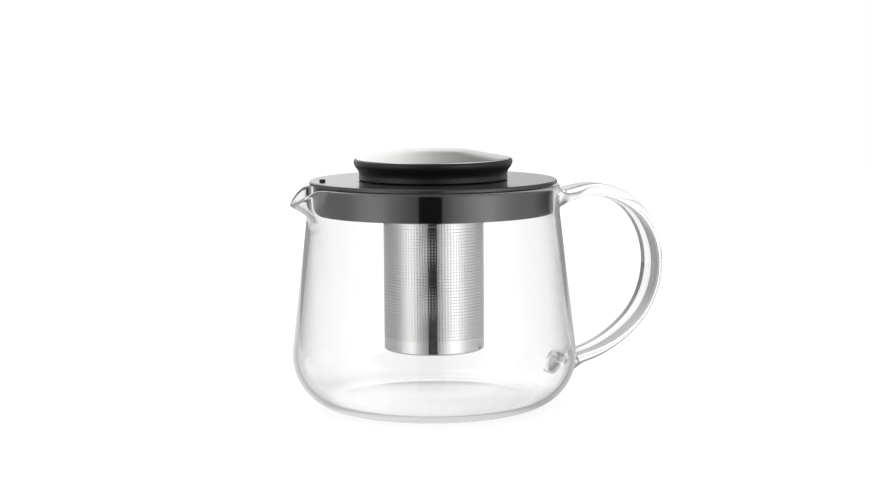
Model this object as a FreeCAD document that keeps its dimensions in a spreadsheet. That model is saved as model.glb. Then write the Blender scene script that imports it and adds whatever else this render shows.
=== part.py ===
"""A one-litre glass teapot with a lift-out steel strainer, as a parametric FreeCAD document.

The glass jug stands on the XY plane with its axis on +Z. The spout points along -X and the
handle along +X. Every length is in millimetres. The driving sizes live in the sheet "sizes",
and each sub-part is a body whose sketches and features are bound to that sheet.
"""

import FreeCAD
import Part
import math
import os
import Sketcher
from FreeCAD import Placement, Rotation, Vector
from types import SimpleNamespace

SHEET = "sizes"

# Each driving size: its value and what it measures.
DRIVING_SIZES = {
    # Glass jug
    "base_radius": (50.0, "flat the jug stands on"),
    "heel_radius": (27.4, "round between base and wall, outside"),
    "belly_radius": (69.6, "widest radius of the jug, outside"),
    "neck_radius": (61.5, "straight neck, outside"),
    "neck_height": (94.0, "where the sloping wall meets the neck"),
    "rim_height": (108.0, "top of the glass rim"),
    "glass_wall": (2.3, "thickness of the blown wall"),
    "glass_floor": (4.0, "thickness of the glass base"),
    "rim_round": (1.0, "rounds of the fire-polished rim"),
    # Pouring lip
    "spout_root_inset": (5.2, "where the lip's loft starts, inside the neck's bore"),
    "spout_length": (12.5, "tip of the lip beyond the neck"),
    "spout_root_width": (12.0, "half width of the lip at its root"),
    "spout_tip_width": (5.0, "half width of the lip at its tip"),
    "spout_root_depth": (15.4, "depth of the lip below the rim at its root"),
    "spout_tip_drop": (6.4, "how far the tip droops below the rim"),
    "spout_tip_depth": (3.0, "thickness of the tip from edge to underside"),
    "spout_root_round": (7.0, "round of the lip's underside at its root"),
    "spout_tip_round": (4.2, "round of the lip's underside at its tip"),
    # Handle
    "handle_reach": (119.7, "centre line of the handle at its furthest"),
    "handle_top_drop": (10.0, "where the centre line runs into the neck, below the rim"),
    "handle_low_join": (12.3, "height where the centre line runs into the heel"),
    "handle_low_root": (17.0, "low end of the centre line, out from the heel's centre"),
    "handle_top_round": (34.06, "bend between the back and the top run"),
    "handle_low_round": (65.78, "bend between the back and the low run"),
    "handle_top_blend": (32.0, "where the top bend takes over, degrees above the furthest point"),
    "handle_low_blend": (48.0, "where the low bend takes over, degrees below the furthest point"),
    "handle_rise": (11.0, "upward angle of the top run, degrees"),
    "handle_fall": (16.5, "downward angle of the low run, degrees"),
    "handle_width": (16.0, "strap width"),
    "handle_thick": (6.3, "strap thickness"),
    "handle_pad_width": (20.0, "width of the fused end"),
    "handle_pad_thick": (10.0, "thickness of the fused end"),
    "handle_pad_length": (10.0, "length over which the strap swells to its fused end"),
    # Holder: the wide plate that closes the neck
    "seat_gap": (0.3, "clearance between lifted parts and their seats"),
    "plate_inset": (1.3, "plate's edge inside the neck's outside"),
    "plate_thick": (2.0, "lid plate"),
    "plate_edge": (0.7, "round of the plate's edges"),
    "collar_gap": (0.8, "clearance of the silicone collar in the neck"),
    "collar_thick": (1.6, "silicone collar"),
    "collar_depth": (13.7, "collar below the plate"),
    "collar_lip": (0.8, "turned-in lower edge of the collar"),
    "skirt_wall": (1.2, "plate's skirt inside the collar"),
    "well_radius": (30.6, "well that takes the strainer's flange"),
    "well_depth": (6.0, "well below the plate's top"),
    "well_wall": (1.4, "wall of the well"),
    "ledge_thick": (1.4, "ledge that carries the flange"),
    "ledge_gap": (0.7, "clearance round the strainer"),
    "vent_inset": (6.0, "vent in from the plate's edge"),
    "vent_angle": (169.0, "vent's direction, degrees from +X"),
    "vent_stem": (0.9, "radius of the vent's stem"),
    "vent_flange": (1.5, "radius of the vent's raised head"),
    "vent_head": (1.1, "height of the vent's raised head"),
    "vent_bore": (0.4, "radius of the vent's bore"),
    # Strainer
    "sleeve_radius": (24.5, "perforated sleeve, outside"),
    "sheet_thick": (0.5, "steel sheet"),
    "strainer_bottom": (27.3, "underside of the strainer above the table"),
    "cup_height": (2.2, "turned-up edge of the strainer's floor"),
    "cup_corner": (1.6, "round of the bottom edge"),
    "flange_gap": (0.6, "clearance round the flange in the well"),
    "flange_thick": (1.0, "flange at the top of the strainer"),
    "hole_radius": (0.9, "perforation"),
    "hole_columns": (20, "perforations round the sleeve, even"),
    "hole_rows": (10, "perforations up the sleeve"),
    "hole_margin": (10.7, "plain band below the perforations"),
    "hole_top_margin": (7.0, "plain band above the perforations"),
    # Lid
    "grip_waist": (36.0, "waist of the grip ring"),
    "grip_wall": (3.0, "wall of the grip ring at its waist"),
    "foot_out": (0.3, "foot of the grip ring beyond its waist"),
    "turn_out": (1.3, "where hollow turns to bead, beyond the waist"),
    "bead_out": (2.6, "widest part of the bead beyond the waist"),
    "waist_height": (2.0, "waist above the foot"),
    "turn_height": (5.4, "where hollow turns to bead, above the foot"),
    "bead_height": (8.7, "widest point above the foot"),
    "bead_round": (1.1, "round of the bead's top"),
    "cap_inset": (0.2, "cap's edge inside the top of the grip ring"),
    "cap_edge": (0.9, "turned edge of the cap"),
    "cap_dome": (4.0, "rise of the cap's dome"),
    "cap_thick": (0.8, "steel of the cap"),
    "core_wall": (1.4, "walls of the lid's core"),
    "plug_room": (4.4, "room round the lid's plug in the well"),
    "plug_gap": (0.6, "plug's floor above the flange"),
    "seal_height": (1.8, "lid seal"),
    "seal_depth": (0.8, "seal's groove in the plug"),
    "seal_gap": (0.3, "clearance of the seal in the well"),
}


class Size:
    """A length, with the sheet expression that gives it and its present value."""

    def __init__(self, text, value):
        self.text = text
        self.value = float(value)

    def _join(self, sign, other, value):
        return Size("(%s %s %s)" % (self.text, sign, as_size(other).text), value)

    def __add__(self, other):
        return self._join("+", other, self.value + as_size(other).value)

    def __sub__(self, other):
        return self._join("-", other, self.value - as_size(other).value)

    def __mul__(self, other):
        return self._join("*", other, self.value * as_size(other).value)

    def __truediv__(self, other):
        return self._join("/", other, self.value / as_size(other).value)

    def __neg__(self):
        return Size("(0 - %s)" % self.text, -self.value)

    def root(self):
        """The square root."""
        return Size("sqrt(%s)" % self.text, math.sqrt(self.value))

    def angle(self):
        """The same number as an angle in degrees."""
        return Size("(%s * 1 deg)" % self.text, math.radians(self.value))

    def slope(self):
        """The rise per unit of run of an angle in degrees."""
        return Size("tan(%s * 1 deg)" % self.text, math.tan(math.radians(self.value)))

    def sine(self):
        """The sine of an angle in degrees."""
        return Size("sin(%s * 1 deg)" % self.text, math.sin(math.radians(self.value)))

    def cosine(self):
        """The cosine of an angle in degrees."""
        return Size("cos(%s * 1 deg)" % self.text, math.cos(math.radians(self.value)))


def as_size(number):
    """Wrap a plain number, and pass a Size through."""
    return number if isinstance(number, Size) else Size(repr(number), number)


def make_sheet(doc):
    """Write the driving sizes to the sheet and return them by name."""
    sheet = doc.addObject("Spreadsheet::Sheet", SHEET)
    named = {}
    for row, (name, (value, meaning)) in enumerate(DRIVING_SIZES.items(), start=1):
        sheet.set("A%d" % row, name)
        sheet.set("B%d" % row, str(value))
        sheet.set("C%d" % row, meaning)
        sheet.setAlias("B%d" % row, name)
        named[name] = Size("%s.%s" % (SHEET, name), value)
    doc.recompute()
    return SimpleNamespace(**named)


def derive(s):
    """Work out the heights and radii that several pieces share."""
    s.zero = as_size(0)
    s.heel_centre = s.belly_radius - s.heel_radius
    base_step = s.base_radius - s.heel_centre
    s.heel_height = (s.heel_radius * s.heel_radius - base_step * base_step).root()
    s.neck_bore = s.neck_radius - s.glass_wall
    s.spout_root = s.neck_bore - s.spout_root_inset
    s.spout_reach = s.neck_radius + s.spout_length
    s.handle_top_join = s.rim_height - s.handle_top_drop
    s.handle_low_end = s.heel_centre + s.handle_low_root
    s.handle_back_round, s.handle_middle = handle_back(s)
    s.plate_under = s.rim_height + s.seat_gap
    s.plate_top = s.plate_under + s.plate_thick
    s.plate_radius = s.neck_radius - s.plate_inset
    s.vent_place = s.plate_radius - s.vent_inset
    s.vent_across = s.vent_place * s.vent_angle.cosine()
    s.vent_along = s.vent_place * s.vent_angle.sine()
    s.collar_radius = s.neck_bore - s.collar_gap
    s.collar_under = s.plate_under - s.collar_depth
    s.skirt_radius = s.collar_radius - s.collar_thick
    s.well_back = s.well_radius + s.well_wall
    s.ledge_top = s.plate_top - s.well_depth
    s.flange_under = s.ledge_top + s.seat_gap
    s.flange_top = s.flange_under + s.flange_thick
    s.flange_radius = s.well_radius - s.flange_gap
    s.sleeve_bore = s.sleeve_radius - s.sheet_thick
    s.cup_top = s.strainer_bottom + s.cup_height
    s.lid_under = s.plate_top + s.seat_gap
    s.bead_centre = s.lid_under + s.bead_height
    s.grip_top = s.bead_centre + s.bead_round
    s.grip_bore = s.grip_waist - s.grip_wall
    s.grip_bead = s.grip_waist + s.bead_out
    s.grip_crown = s.grip_bead - s.bead_round
    s.cap_radius = s.grip_crown - s.cap_inset
    s.plug_radius = s.well_radius - s.plug_room
    s.seal_groove = s.plug_radius - s.seal_depth
    s.plug_under = s.flange_top + s.plug_gap
    s.seal_under = s.plug_under + s.core_wall
    return s


def handle_back(s):
    """The radius of the bend down the handle's back, and the height of its centre.

    The bends above and below it each run tangent into it and into a straight run. That gives two
    linear equations in the radius and the height, which are solved together.
    """
    top = (s.handle_top_round, s.neck_bore, s.handle_top_join, -s.handle_rise.sine(),
           s.handle_rise.cosine(), (s.handle_top_blend - s.handle_rise).sine())
    low = (s.handle_low_round, s.handle_low_end, s.handle_low_join, s.handle_fall.sine(),
           -s.handle_fall.cosine(), (s.handle_low_blend + s.handle_fall).sine())
    rows = []
    for bend, across, up, outward_x, outward_y, share in (top, low):
        known = bend * (as_size(1) - share) - (across - s.handle_reach) * outward_x - up * outward_y
        rows.append((outward_x - share, -outward_y, known))
    (top_a, top_b, top_known), (low_a, low_b, low_known) = rows
    whole = top_a * low_b - low_a * top_b
    radius = (top_known * low_b - low_known * top_b) / whole
    return radius, (top_a * low_known - low_a * top_known) / whole


def new_body(doc, label):
    """Start a body whose label names its file."""
    body = doc.addObject("PartDesign::Body", label)
    body.Label = label
    return body


def origin_plane(body, role):
    """Find one of the body's own origin planes."""
    return next(feature for feature in body.Origin.OriginFeatures if feature.Role == role)


def new_sketch(body, name, role="XZ_Plane", offset=None):
    """Start a sketch on one of the body's planes, moved along its normal by offset."""
    sketch = body.newObject("Sketcher::SketchObject", name)
    sketch.AttachmentSupport = [(origin_plane(body, role), "")]
    sketch.MapMode = "FlatFace"
    if offset is not None:
        sketch.AttachmentOffset = Placement(Vector(0, 0, offset.value), Rotation())
        sketch.setExpression("AttachmentOffset.Base.z", offset.text)
    return sketch


def bind(sketch, kind, *where):
    """Add a constraint whose last entry is a Size, and tie it to the sheet."""
    size = where[-1]
    index = sketch.addConstraint(Sketcher.Constraint(kind, *where[:-1], size.value))
    sketch.setExpression("Constraints[%d]" % index, size.text)
    return index


def pin_point(sketch, edge, end, across, up):
    """Hold a point of the sketch at (across, up) from the origin."""
    if across.value == 0:
        sketch.addConstraint(Sketcher.Constraint("PointOnObject", edge, end, -2))
    else:
        bind(sketch, "DistanceX", -1, 1, edge, end, across)
    if up.value == 0:
        sketch.addConstraint(Sketcher.Constraint("PointOnObject", edge, end, -1))
    else:
        bind(sketch, "DistanceY", -1, 1, edge, end, up)


def arc_through(start, end, radius, turn):
    """The arc from start to end, turning left (1) or right (-1), under a half circle."""
    middle = (start + end) * 0.5
    chord = end - start
    rise = math.sqrt(max(radius * radius - chord.Length * chord.Length / 4, 0))
    left = Vector(-chord.y, chord.x, 0).normalize()
    centre = middle + left * (rise * turn)
    first, last = (start, end) if turn > 0 else (end, start)
    begin = math.atan2(first.y - centre.y, first.x - centre.x)
    finish = math.atan2(last.y - centre.y, last.x - centre.x)
    circle = Part.Circle(centre, Vector(0, 0, 1), radius)
    return Part.ArcOfCircle(circle, begin, finish if finish > begin else finish + 2 * math.pi)


class Outline:
    """A closed outline drawn corner by corner, each corner held by two sizes."""

    def __init__(self, across, up):
        self.corners = [(as_size(across), as_size(up))]
        self.bends = []

    def line(self, across, up):
        """Run straight to the next corner."""
        self.corners.append((as_size(across), as_size(up)))
        self.bends.append(None)
        return self

    def arc(self, across, up, radius, turn):
        """Run to the next corner on an arc that turns left (1) or right (-1)."""
        self.corners.append((as_size(across), as_size(up)))
        self.bends.append((as_size(radius), turn))
        return self

    def draw(self, sketch):
        """Close the outline with a straight edge and put it into the sketch."""
        bends = self.bends + [None]
        points = [Vector(across.value, up.value, 0) for across, up in self.corners]
        count = len(points)
        ends = []
        for index, bend in enumerate(bends):
            start, end = points[index], points[(index + 1) % count]
            if bend is None:
                edge = sketch.addGeometry(Part.LineSegment(start, end), False)
                ends.append((edge, 1, 2))
            else:
                radius, turn = bend
                edge = sketch.addGeometry(arc_through(start, end, radius.value, turn), False)
                ends.append((edge, 1, 2) if turn > 0 else (edge, 2, 1))
        for index in range(count):
            edge, _, end = ends[index]
            following, start, _ = ends[(index + 1) % count]
            sketch.addConstraint(Sketcher.Constraint("Coincident", edge, end, following, start))
        for (edge, start, _), (across, up) in zip(ends, self.corners):
            pin_point(sketch, edge, start, across, up)
        for (edge, _, _), bend in zip(ends, bends):
            if bend is not None:
                bind(sketch, "Radius", edge, bend[0])
        return sketch


def spin(body, sketch, name, kind="PartDesign::Revolution"):
    """Turn a sketch a full circle about the upright axis, adding or cutting."""
    feature = body.newObject(kind, name)
    feature.Profile = sketch
    feature.ReferenceAxis = (sketch, ["V_Axis"])
    feature.Angle = 360.0
    return feature


def turned_part(doc, label, outline):
    """A body turned from one outline."""
    body = new_body(doc, label)
    spin(body, outline.draw(new_sketch(body, label + "_outline")), label + "_turned")
    return body


def jug_outline(sketch, s, inset, foot, rim_turn):
    """The jug's filled outline, set in from the outside by inset, from height foot to the rim.

    The heel's arc runs tangent into the sloping wall, and the wall meets the straight neck.
    The rim's round turns inwards (-1), as on the outside, or outwards (1), as in the mouth.
    """
    heel = s.heel_radius - inset
    neck = s.neck_radius - inset
    crown = neck + s.rim_round * rim_turn
    shoulder = s.rim_height - s.rim_round
    top = s.rim_height if rim_turn < 0 else s.rim_height + s.rim_round
    centre = Vector(s.heel_centre.value, s.heel_height.value, 0)
    drop = math.asin((centre.y - foot.value) / heel.value)
    lean = math.atan2(s.belly_radius.value - s.neck_radius.value, s.neck_height.value - centre.y)
    arc = Part.ArcOfCircle(Part.Circle(centre, Vector(0, 0, 1), heel.value), -drop, lean)
    middle = Vector(0, foot.value, 0)
    corners = [Vector(neck.value, s.neck_height.value, 0), Vector(neck.value, shoulder.value, 0),
               Vector(crown.value, s.rim_height.value, 0), Vector(crown.value, top.value, 0),
               Vector(0, top.value, 0)]
    rim = arc_through(corners[1], corners[2], s.rim_round.value, -rim_turn)
    rim_start, rim_end = (1, 2) if rim_turn < 0 else (2, 1)
    edges = [(Part.LineSegment(middle, arc.StartPoint), 1, 2), (arc, 1, 2),
             (Part.LineSegment(arc.EndPoint, corners[0]), 1, 2),
             (Part.LineSegment(corners[0], corners[1]), 1, 2), (rim, rim_start, rim_end)]
    if rim_turn > 0:
        edges.append((Part.LineSegment(corners[2], corners[3]), 1, 2))
    edges.append((Part.LineSegment(corners[3], corners[4]), 1, 2))
    edges.append((Part.LineSegment(corners[4], middle), 1, 2))
    for geometry, _, _ in edges:
        sketch.addGeometry(geometry, False)
    last = len(edges) - 1
    for edge, (_, _, end) in enumerate(edges):
        following = 0 if edge == last else edge + 1
        kind = "Tangent" if edge == 1 else "Coincident"
        sketch.addConstraint(Sketcher.Constraint(kind, edge, end, following, edges[following][1]))
    sketch.addConstraint(Sketcher.Constraint("Horizontal", 0))
    pin_point(sketch, 0, 1, s.zero, foot)
    pin_point(sketch, 1, 3, s.heel_centre, s.heel_height)
    bind(sketch, "Radius", 1, heel)
    pin_point(sketch, 3, 1, neck, s.neck_height)
    pin_point(sketch, 3, 2, neck, shoulder)
    pin_point(sketch, 4, rim_end, crown, s.rim_height)
    bind(sketch, "Radius", 4, s.rim_round)
    if rim_turn > 0:
        pin_point(sketch, 6, 1, crown, top)
    pin_point(sketch, last, 1, s.zero, top)
    return sketch


def lip_section(body, name, place, half_width, top, bottom, round_radius):
    """A U-shaped section of the pouring lip on a plane square to X, at x = -place."""
    sketch = new_sketch(body, name, "YZ_Plane", -place)
    radius = round_radius.value
    centre = Vector(0, bottom.value + radius, 0)
    corner = Vector(half_width.value, top.value, 0)
    away = corner - centre
    swing = math.atan2(away.y, away.x) - math.acos(radius / away.Length)
    touch = centre + Vector(math.cos(swing), math.sin(swing), 0) * radius
    left_corner = Vector(-corner.x, corner.y, 0)
    left_touch = Vector(-touch.x, touch.y, 0)
    circle = Part.Circle(centre, Vector(0, 0, 1), radius)
    sketch.addGeometry(Part.ArcOfCircle(circle, math.pi - swing, 2 * math.pi + swing), False)
    sketch.addGeometry(Part.LineSegment(touch, corner), False)
    sketch.addGeometry(Part.LineSegment(corner, left_corner), False)
    sketch.addGeometry(Part.LineSegment(left_corner, left_touch), False)
    sketch.addConstraint(Sketcher.Constraint("Tangent", 0, 2, 1, 1))
    sketch.addConstraint(Sketcher.Constraint("Coincident", 1, 2, 2, 1))
    sketch.addConstraint(Sketcher.Constraint("Coincident", 2, 2, 3, 1))
    sketch.addConstraint(Sketcher.Constraint("Tangent", 3, 2, 0, 1))
    pin_point(sketch, 0, 3, Size("0", 0), bottom + round_radius)
    bind(sketch, "Radius", 0, round_radius)
    pin_point(sketch, 2, 1, half_width, top)
    pin_point(sketch, 2, 2, -half_width, top)
    return sketch


def loft(body, name, first, last, kind="PartDesign::AdditiveLoft"):
    """A straight loft between two sections, adding or cutting."""
    feature = body.newObject(kind, name)
    feature.Profile = first
    feature.Sections = [last]
    feature.Ruled = True
    return feature


def make_jug(doc, s):
    """The blown jug: a turned vessel with a pulled pouring lip cut through its neck."""
    body = new_body(doc, "glass_jug")
    spin(body, jug_outline(new_sketch(body, "jug_outside"), s, s.zero, s.zero, -1), "jug_solid")

    tip_top = s.rim_height - s.spout_tip_drop
    root = lip_section(body, "lip_root", s.spout_root, s.spout_root_width, s.rim_height,
                       s.rim_height - s.spout_root_depth, s.spout_root_round)
    tip = lip_section(body, "lip_tip", s.spout_reach, s.spout_tip_width, tip_top,
                      tip_top - s.spout_tip_depth, s.spout_tip_round)
    loft(body, "lip", root, tip)

    inside = jug_outline(new_sketch(body, "jug_inside"), s, s.glass_wall, s.glass_floor, 1)
    spin(body, inside, "jug_cavity", "PartDesign::Groove")

    above = s.rim_round + s.spout_tip_drop
    past = s.spout_reach + s.glass_wall
    channel_root = lip_section(body, "channel_root", s.spout_root, s.spout_root_width - s.glass_wall,
                               s.rim_height + above, s.rim_height - s.spout_root_depth + s.glass_wall,
                               s.spout_root_round - s.glass_wall)
    channel_tip = lip_section(body, "channel_tip", past, s.spout_tip_width - s.glass_wall / 2,
                              tip_top + above, tip_top - s.spout_tip_depth + s.glass_wall,
                              s.spout_tip_round - s.glass_wall / 2)
    loft(body, "lip_channel", channel_root, channel_tip, "PartDesign::SubtractiveLoft")
    return body


def handle_path(sketch, s):
    """The handle's centre line: a rising run, three tangent bends and a falling run.

    The bends above and below the back bend run from it into the straight runs.
    """
    top_start = Vector(s.neck_bore.value, s.handle_top_join.value, 0)
    low_end = Vector(s.handle_low_end.value, s.handle_low_join.value, 0)
    back_r = s.handle_back_round.value
    back = Vector(s.handle_reach.value - back_r, s.handle_middle.value, 0)
    top_turn = math.radians(s.handle_top_blend.value)
    low_turn = -math.radians(s.handle_low_blend.value)
    rise = s.handle_rise.angle()
    fall = s.handle_fall.angle()
    top_finish = math.pi / 2 + rise.value
    low_begin = fall.value - math.pi / 2

    def direction(turn):
        return Vector(math.cos(turn), math.sin(turn), 0)

    def bend(centre, radius, begin, finish):
        return Part.ArcOfCircle(Part.Circle(centre, Vector(0, 0, 1), radius), begin, finish)

    def bend_into_run(turn, run_point, run_turn):
        outward = direction(run_turn)
        share = outward.dot(direction(turn))
        radius = ((run_point - back).dot(outward) - back_r * share) / (1 - share)
        return back + direction(turn) * (back_r - radius), radius

    top, top_r = bend_into_run(top_turn, top_start, top_finish)
    low, low_r = bend_into_run(low_turn, low_end, low_begin)
    top_arc = bend(top, top_r, top_turn, top_finish)
    back_arc = bend(back, back_r, low_turn, top_turn)
    low_arc = bend(low, low_r, low_begin, low_turn)
    sketch.addGeometry(Part.LineSegment(top_start, top_arc.EndPoint), False)
    for arc in (top_arc, back_arc, low_arc):
        sketch.addGeometry(arc, False)
    sketch.addGeometry(Part.LineSegment(low_end, low_arc.StartPoint), False)
    for edge, end, following, start in ((0, 2, 1, 2), (1, 1, 2, 2), (2, 1, 3, 2), (3, 1, 4, 2)):
        sketch.addConstraint(Sketcher.Constraint("Tangent", edge, end, following, start))
    pin_point(sketch, 0, 1, s.neck_bore, s.handle_top_join)
    pin_point(sketch, 4, 1, s.handle_low_end, s.handle_low_join)
    pin_point(sketch, 2, 3, s.handle_reach - s.handle_back_round, s.handle_middle)
    bind(sketch, "Radius", 2, s.handle_back_round)
    bind(sketch, "DistanceY", 2, 3, 2, 2, s.handle_back_round * s.handle_top_blend.sine())
    bind(sketch, "DistanceY", 2, 1, 2, 3, s.handle_back_round * s.handle_low_blend.sine())
    bind(sketch, "Angle", 0, rise)
    bind(sketch, "Angle", 4, fall)
    return sketch


def strap_section(body, name, place, height, width, thick):
    """A strap's section with round edges, on a plane square to X at x = place."""
    sketch = new_sketch(body, name, "YZ_Plane", place)
    radius = thick / 2
    reach = (width - thick) / 2
    centre = Vector(reach.value, height.value, 0)
    mirrored = Vector(-reach.value, height.value, 0)
    up = Vector(0, radius.value, 0)
    quarter = math.pi / 2
    right = Part.Circle(centre, Vector(0, 0, 1), radius.value)
    left = Part.Circle(mirrored, Vector(0, 0, 1), radius.value)
    sketch.addGeometry(Part.ArcOfCircle(right, -quarter, quarter), False)
    sketch.addGeometry(Part.LineSegment(centre + up, mirrored + up), False)
    sketch.addGeometry(Part.ArcOfCircle(left, quarter, 3 * quarter), False)
    sketch.addGeometry(Part.LineSegment(mirrored - up, centre - up), False)
    for edge, end, following, start in ((0, 2, 1, 1), (1, 2, 2, 1), (2, 2, 3, 1), (3, 2, 0, 1)):
        sketch.addConstraint(Sketcher.Constraint("Tangent", edge, end, following, start))
    pin_point(sketch, 0, 3, reach, height)
    pin_point(sketch, 2, 3, -reach, height)
    bind(sketch, "Radius", 0, radius)
    return sketch


def make_handle(doc, s):
    """The glass strap handle, swelling at both ends where it is fused to the jug."""
    body = new_body(doc, "glass_handle")
    path = handle_path(new_sketch(body, "handle_path"), s)
    section = strap_section(body, "strap", s.neck_bore, s.handle_top_join, s.handle_width, s.handle_thick)
    strap = body.newObject("PartDesign::AdditivePipe", "strap_pipe")
    strap.Profile = section
    strap.Spine = path

    ends = (("top", s.neck_bore, s.handle_top_join, s.handle_rise.slope(), s.neck_radius),
            ("low", s.handle_low_end, s.handle_low_join, s.handle_fall.slope(), s.belly_radius))
    for name, start, join, slope, wall in ends:
        place = wall + s.handle_pad_length
        height = join + slope * (place - start)
        pad = strap_section(body, name + "_pad", start, join, s.handle_pad_width, s.handle_pad_thick)
        neck = strap_section(body, name + "_pad_end", place, height, s.handle_width, s.handle_thick)
        loft(body, name + "_swell", pad, neck)
    outside = jug_outline(new_sketch(body, "jug_envelope"), s, s.zero, s.zero, -1)
    spin(body, outside, "fused_ends", "PartDesign::Groove")
    return body


def make_plate(doc, s):
    """The flat plate that closes the neck, with a skirt for the collar and the wall of a well."""
    edge = s.plate_edge
    skirt_back = s.skirt_radius - s.skirt_wall
    skirt_under = s.collar_under + s.collar_lip
    outline = Outline(s.well_radius, s.ledge_top).line(s.well_radius, s.plate_top)
    outline.line(s.plate_radius - edge, s.plate_top).arc(s.plate_radius, s.plate_top - edge, edge, -1)
    outline.line(s.plate_radius, s.plate_under + edge)
    outline.arc(s.plate_radius - edge, s.plate_under, edge, -1)
    outline.line(s.skirt_radius, s.plate_under).line(s.skirt_radius, skirt_under)
    outline.line(skirt_back, skirt_under).line(skirt_back, s.plate_under)
    outline.line(s.well_back, s.plate_under).line(s.well_back, s.ledge_top)
    body = turned_part(doc, "lid_plate", outline)

    hole = new_sketch(body, "vent_hole", "XY_Plane")
    centre = Vector(s.vent_across.value, s.vent_along.value, 0)
    hole.addGeometry(Part.Circle(centre, Vector(0, 0, 1), s.vent_stem.value), False)
    pin_point(hole, 0, 3, s.vent_across, s.vent_along)
    bind(hole, "Radius", 0, s.vent_stem)
    cut = body.newObject("PartDesign::Pocket", "vent_cut")
    cut.Profile = hole
    cut.Type = "ThroughAll"
    cut.Reversed = True
    return body


def make_seat(doc, s):
    """The ring under the well's wall that the strainer's flange hangs on, its mouth rounded."""
    soft = s.ledge_thick / 2
    mouth = s.sleeve_radius + s.ledge_gap
    under = s.ledge_top - s.ledge_thick
    outline = Outline(s.well_back, under).line(s.well_back, s.ledge_top)
    outline.line(mouth + soft, s.ledge_top).arc(mouth, under + soft, soft, 1)
    outline.arc(mouth + soft, under, soft, 1)
    return turned_part(doc, "strainer_seat", outline)


def make_collar(doc, s):
    """The silicone collar on the plate's skirt, turned in below it."""
    soft = s.collar_thick / 2
    inner = s.skirt_radius - s.skirt_wall
    outline = Outline(inner, s.collar_under)
    outline.line(s.collar_radius - soft, s.collar_under)
    outline.arc(s.collar_radius, s.collar_under + soft, soft, 1)
    outline.line(s.collar_radius, s.plate_under).line(s.skirt_radius, s.plate_under)
    outline.line(s.skirt_radius, s.collar_under + s.collar_lip)
    outline.line(inner, s.collar_under + s.collar_lip)
    return turned_part(doc, "neck_collar", outline)


def make_vent(doc, s):
    """The small raised vent near the plate's edge: a headed bush with a bore."""
    soft = s.vent_head / 2
    top = s.plate_top + s.vent_head
    outline = Outline(s.vent_bore, s.plate_under).line(s.vent_stem, s.plate_under)
    outline.line(s.vent_stem, s.plate_top).line(s.vent_flange, s.plate_top)
    outline.line(s.vent_flange, top - soft).arc(s.vent_flange - soft, top, soft, 1)
    outline.line(s.vent_bore, top)
    body = turned_part(doc, "vent_bush", outline)
    body.setExpression("Placement.Base.x", s.vent_across.text)
    body.setExpression("Placement.Base.y", s.vent_along.text)
    return body


def make_sleeve(doc, s):
    """The perforated steel sleeve, its holes cut through both walls row by row."""
    outline = Outline(s.sleeve_bore, s.cup_top).line(s.sleeve_radius, s.cup_top)
    outline.line(s.sleeve_radius, s.flange_under).line(s.sleeve_bore, s.flange_under)
    body = turned_part(doc, "strainer_sleeve", outline)

    rows = int(s.hole_rows.value)
    holes = new_sketch(body, "perforations")
    span = s.flange_under - s.cup_top - s.hole_margin - s.hole_top_margin
    for row in range(rows):
        height = s.cup_top + s.hole_margin + span * row / (s.hole_rows - 1)
        circle = Part.Circle(Vector(0, height.value, 0), Vector(0, 0, 1), s.hole_radius.value)
        edge = holes.addGeometry(circle, False)
        pin_point(holes, edge, 3, s.zero, height)
        bind(holes, "Radius", edge, s.hole_radius)
    cut = body.newObject("PartDesign::Pocket", "hole_column")
    cut.Profile = holes
    cut.Type = "ThroughAll"
    cut.Midplane = True
    ring = body.newObject("PartDesign::PolarPattern", "hole_columns")
    ring.Originals = [cut]
    ring.Axis = (holes, ["V_Axis"])
    ring.setExpression("Angle", (as_size(180) - as_size(360) / s.hole_columns).angle().text)
    ring.setExpression("Occurrences", (s.hole_columns / 2).text)
    body.Tip = ring
    return body


def make_cup(doc, s):
    """The pressed floor that closes the sleeve, with its turned-up edge."""
    corner = s.cup_corner
    inner = corner - s.sheet_thick
    floor = s.strainer_bottom + s.sheet_thick
    outline = Outline(0, s.strainer_bottom).line(s.sleeve_radius - corner, s.strainer_bottom)
    outline.arc(s.sleeve_radius, s.strainer_bottom + corner, corner, 1)
    outline.line(s.sleeve_radius, s.cup_top).line(s.sleeve_bore, s.cup_top)
    outline.line(s.sleeve_bore, s.strainer_bottom + corner)
    outline.arc(s.sleeve_radius - corner, floor, inner, -1).line(0, floor)
    return turned_part(doc, "strainer_cup", outline)


def make_flange(doc, s):
    """The ring at the top of the sleeve that hangs on the well's ledge."""
    soft = s.flange_thick / 2
    outline = Outline(s.sleeve_bore, s.flange_under).line(s.flange_radius - soft, s.flange_under)
    outline.arc(s.flange_radius, s.flange_under + soft, soft, 1)
    outline.arc(s.flange_radius - soft, s.flange_top, soft, 1).line(s.sleeve_bore, s.flange_top)
    return turned_part(doc, "strainer_flange", outline)


def dome_radius(half_width, rise):
    """The radius of an arc of this half width and rise, level at its top."""
    return (half_width * half_width + rise * rise) / (rise * 2)


def make_grip(doc, s):
    """The waisted rubber grip ring: a hollow side that swells to a bead at the top."""
    waist = s.lid_under + s.waist_height
    turn = s.lid_under + s.turn_height
    turn_radius = s.grip_waist + s.turn_out
    hollow = dome_radius(turn - waist, s.turn_out)
    swell = dome_radius(s.bead_centre - turn, s.bead_out - s.turn_out)
    outline = Outline(s.grip_bore, s.lid_under).line(s.grip_waist + s.foot_out, s.lid_under)
    outline.line(s.grip_waist, waist)
    outline.arc(turn_radius, turn, hollow, -1).arc(s.grip_bead, s.bead_centre, swell, 1)
    outline.arc(s.grip_crown, s.grip_top, s.bead_round, 1).line(s.grip_bore, s.grip_top)
    return turned_part(doc, "grip_ring", outline)


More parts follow.
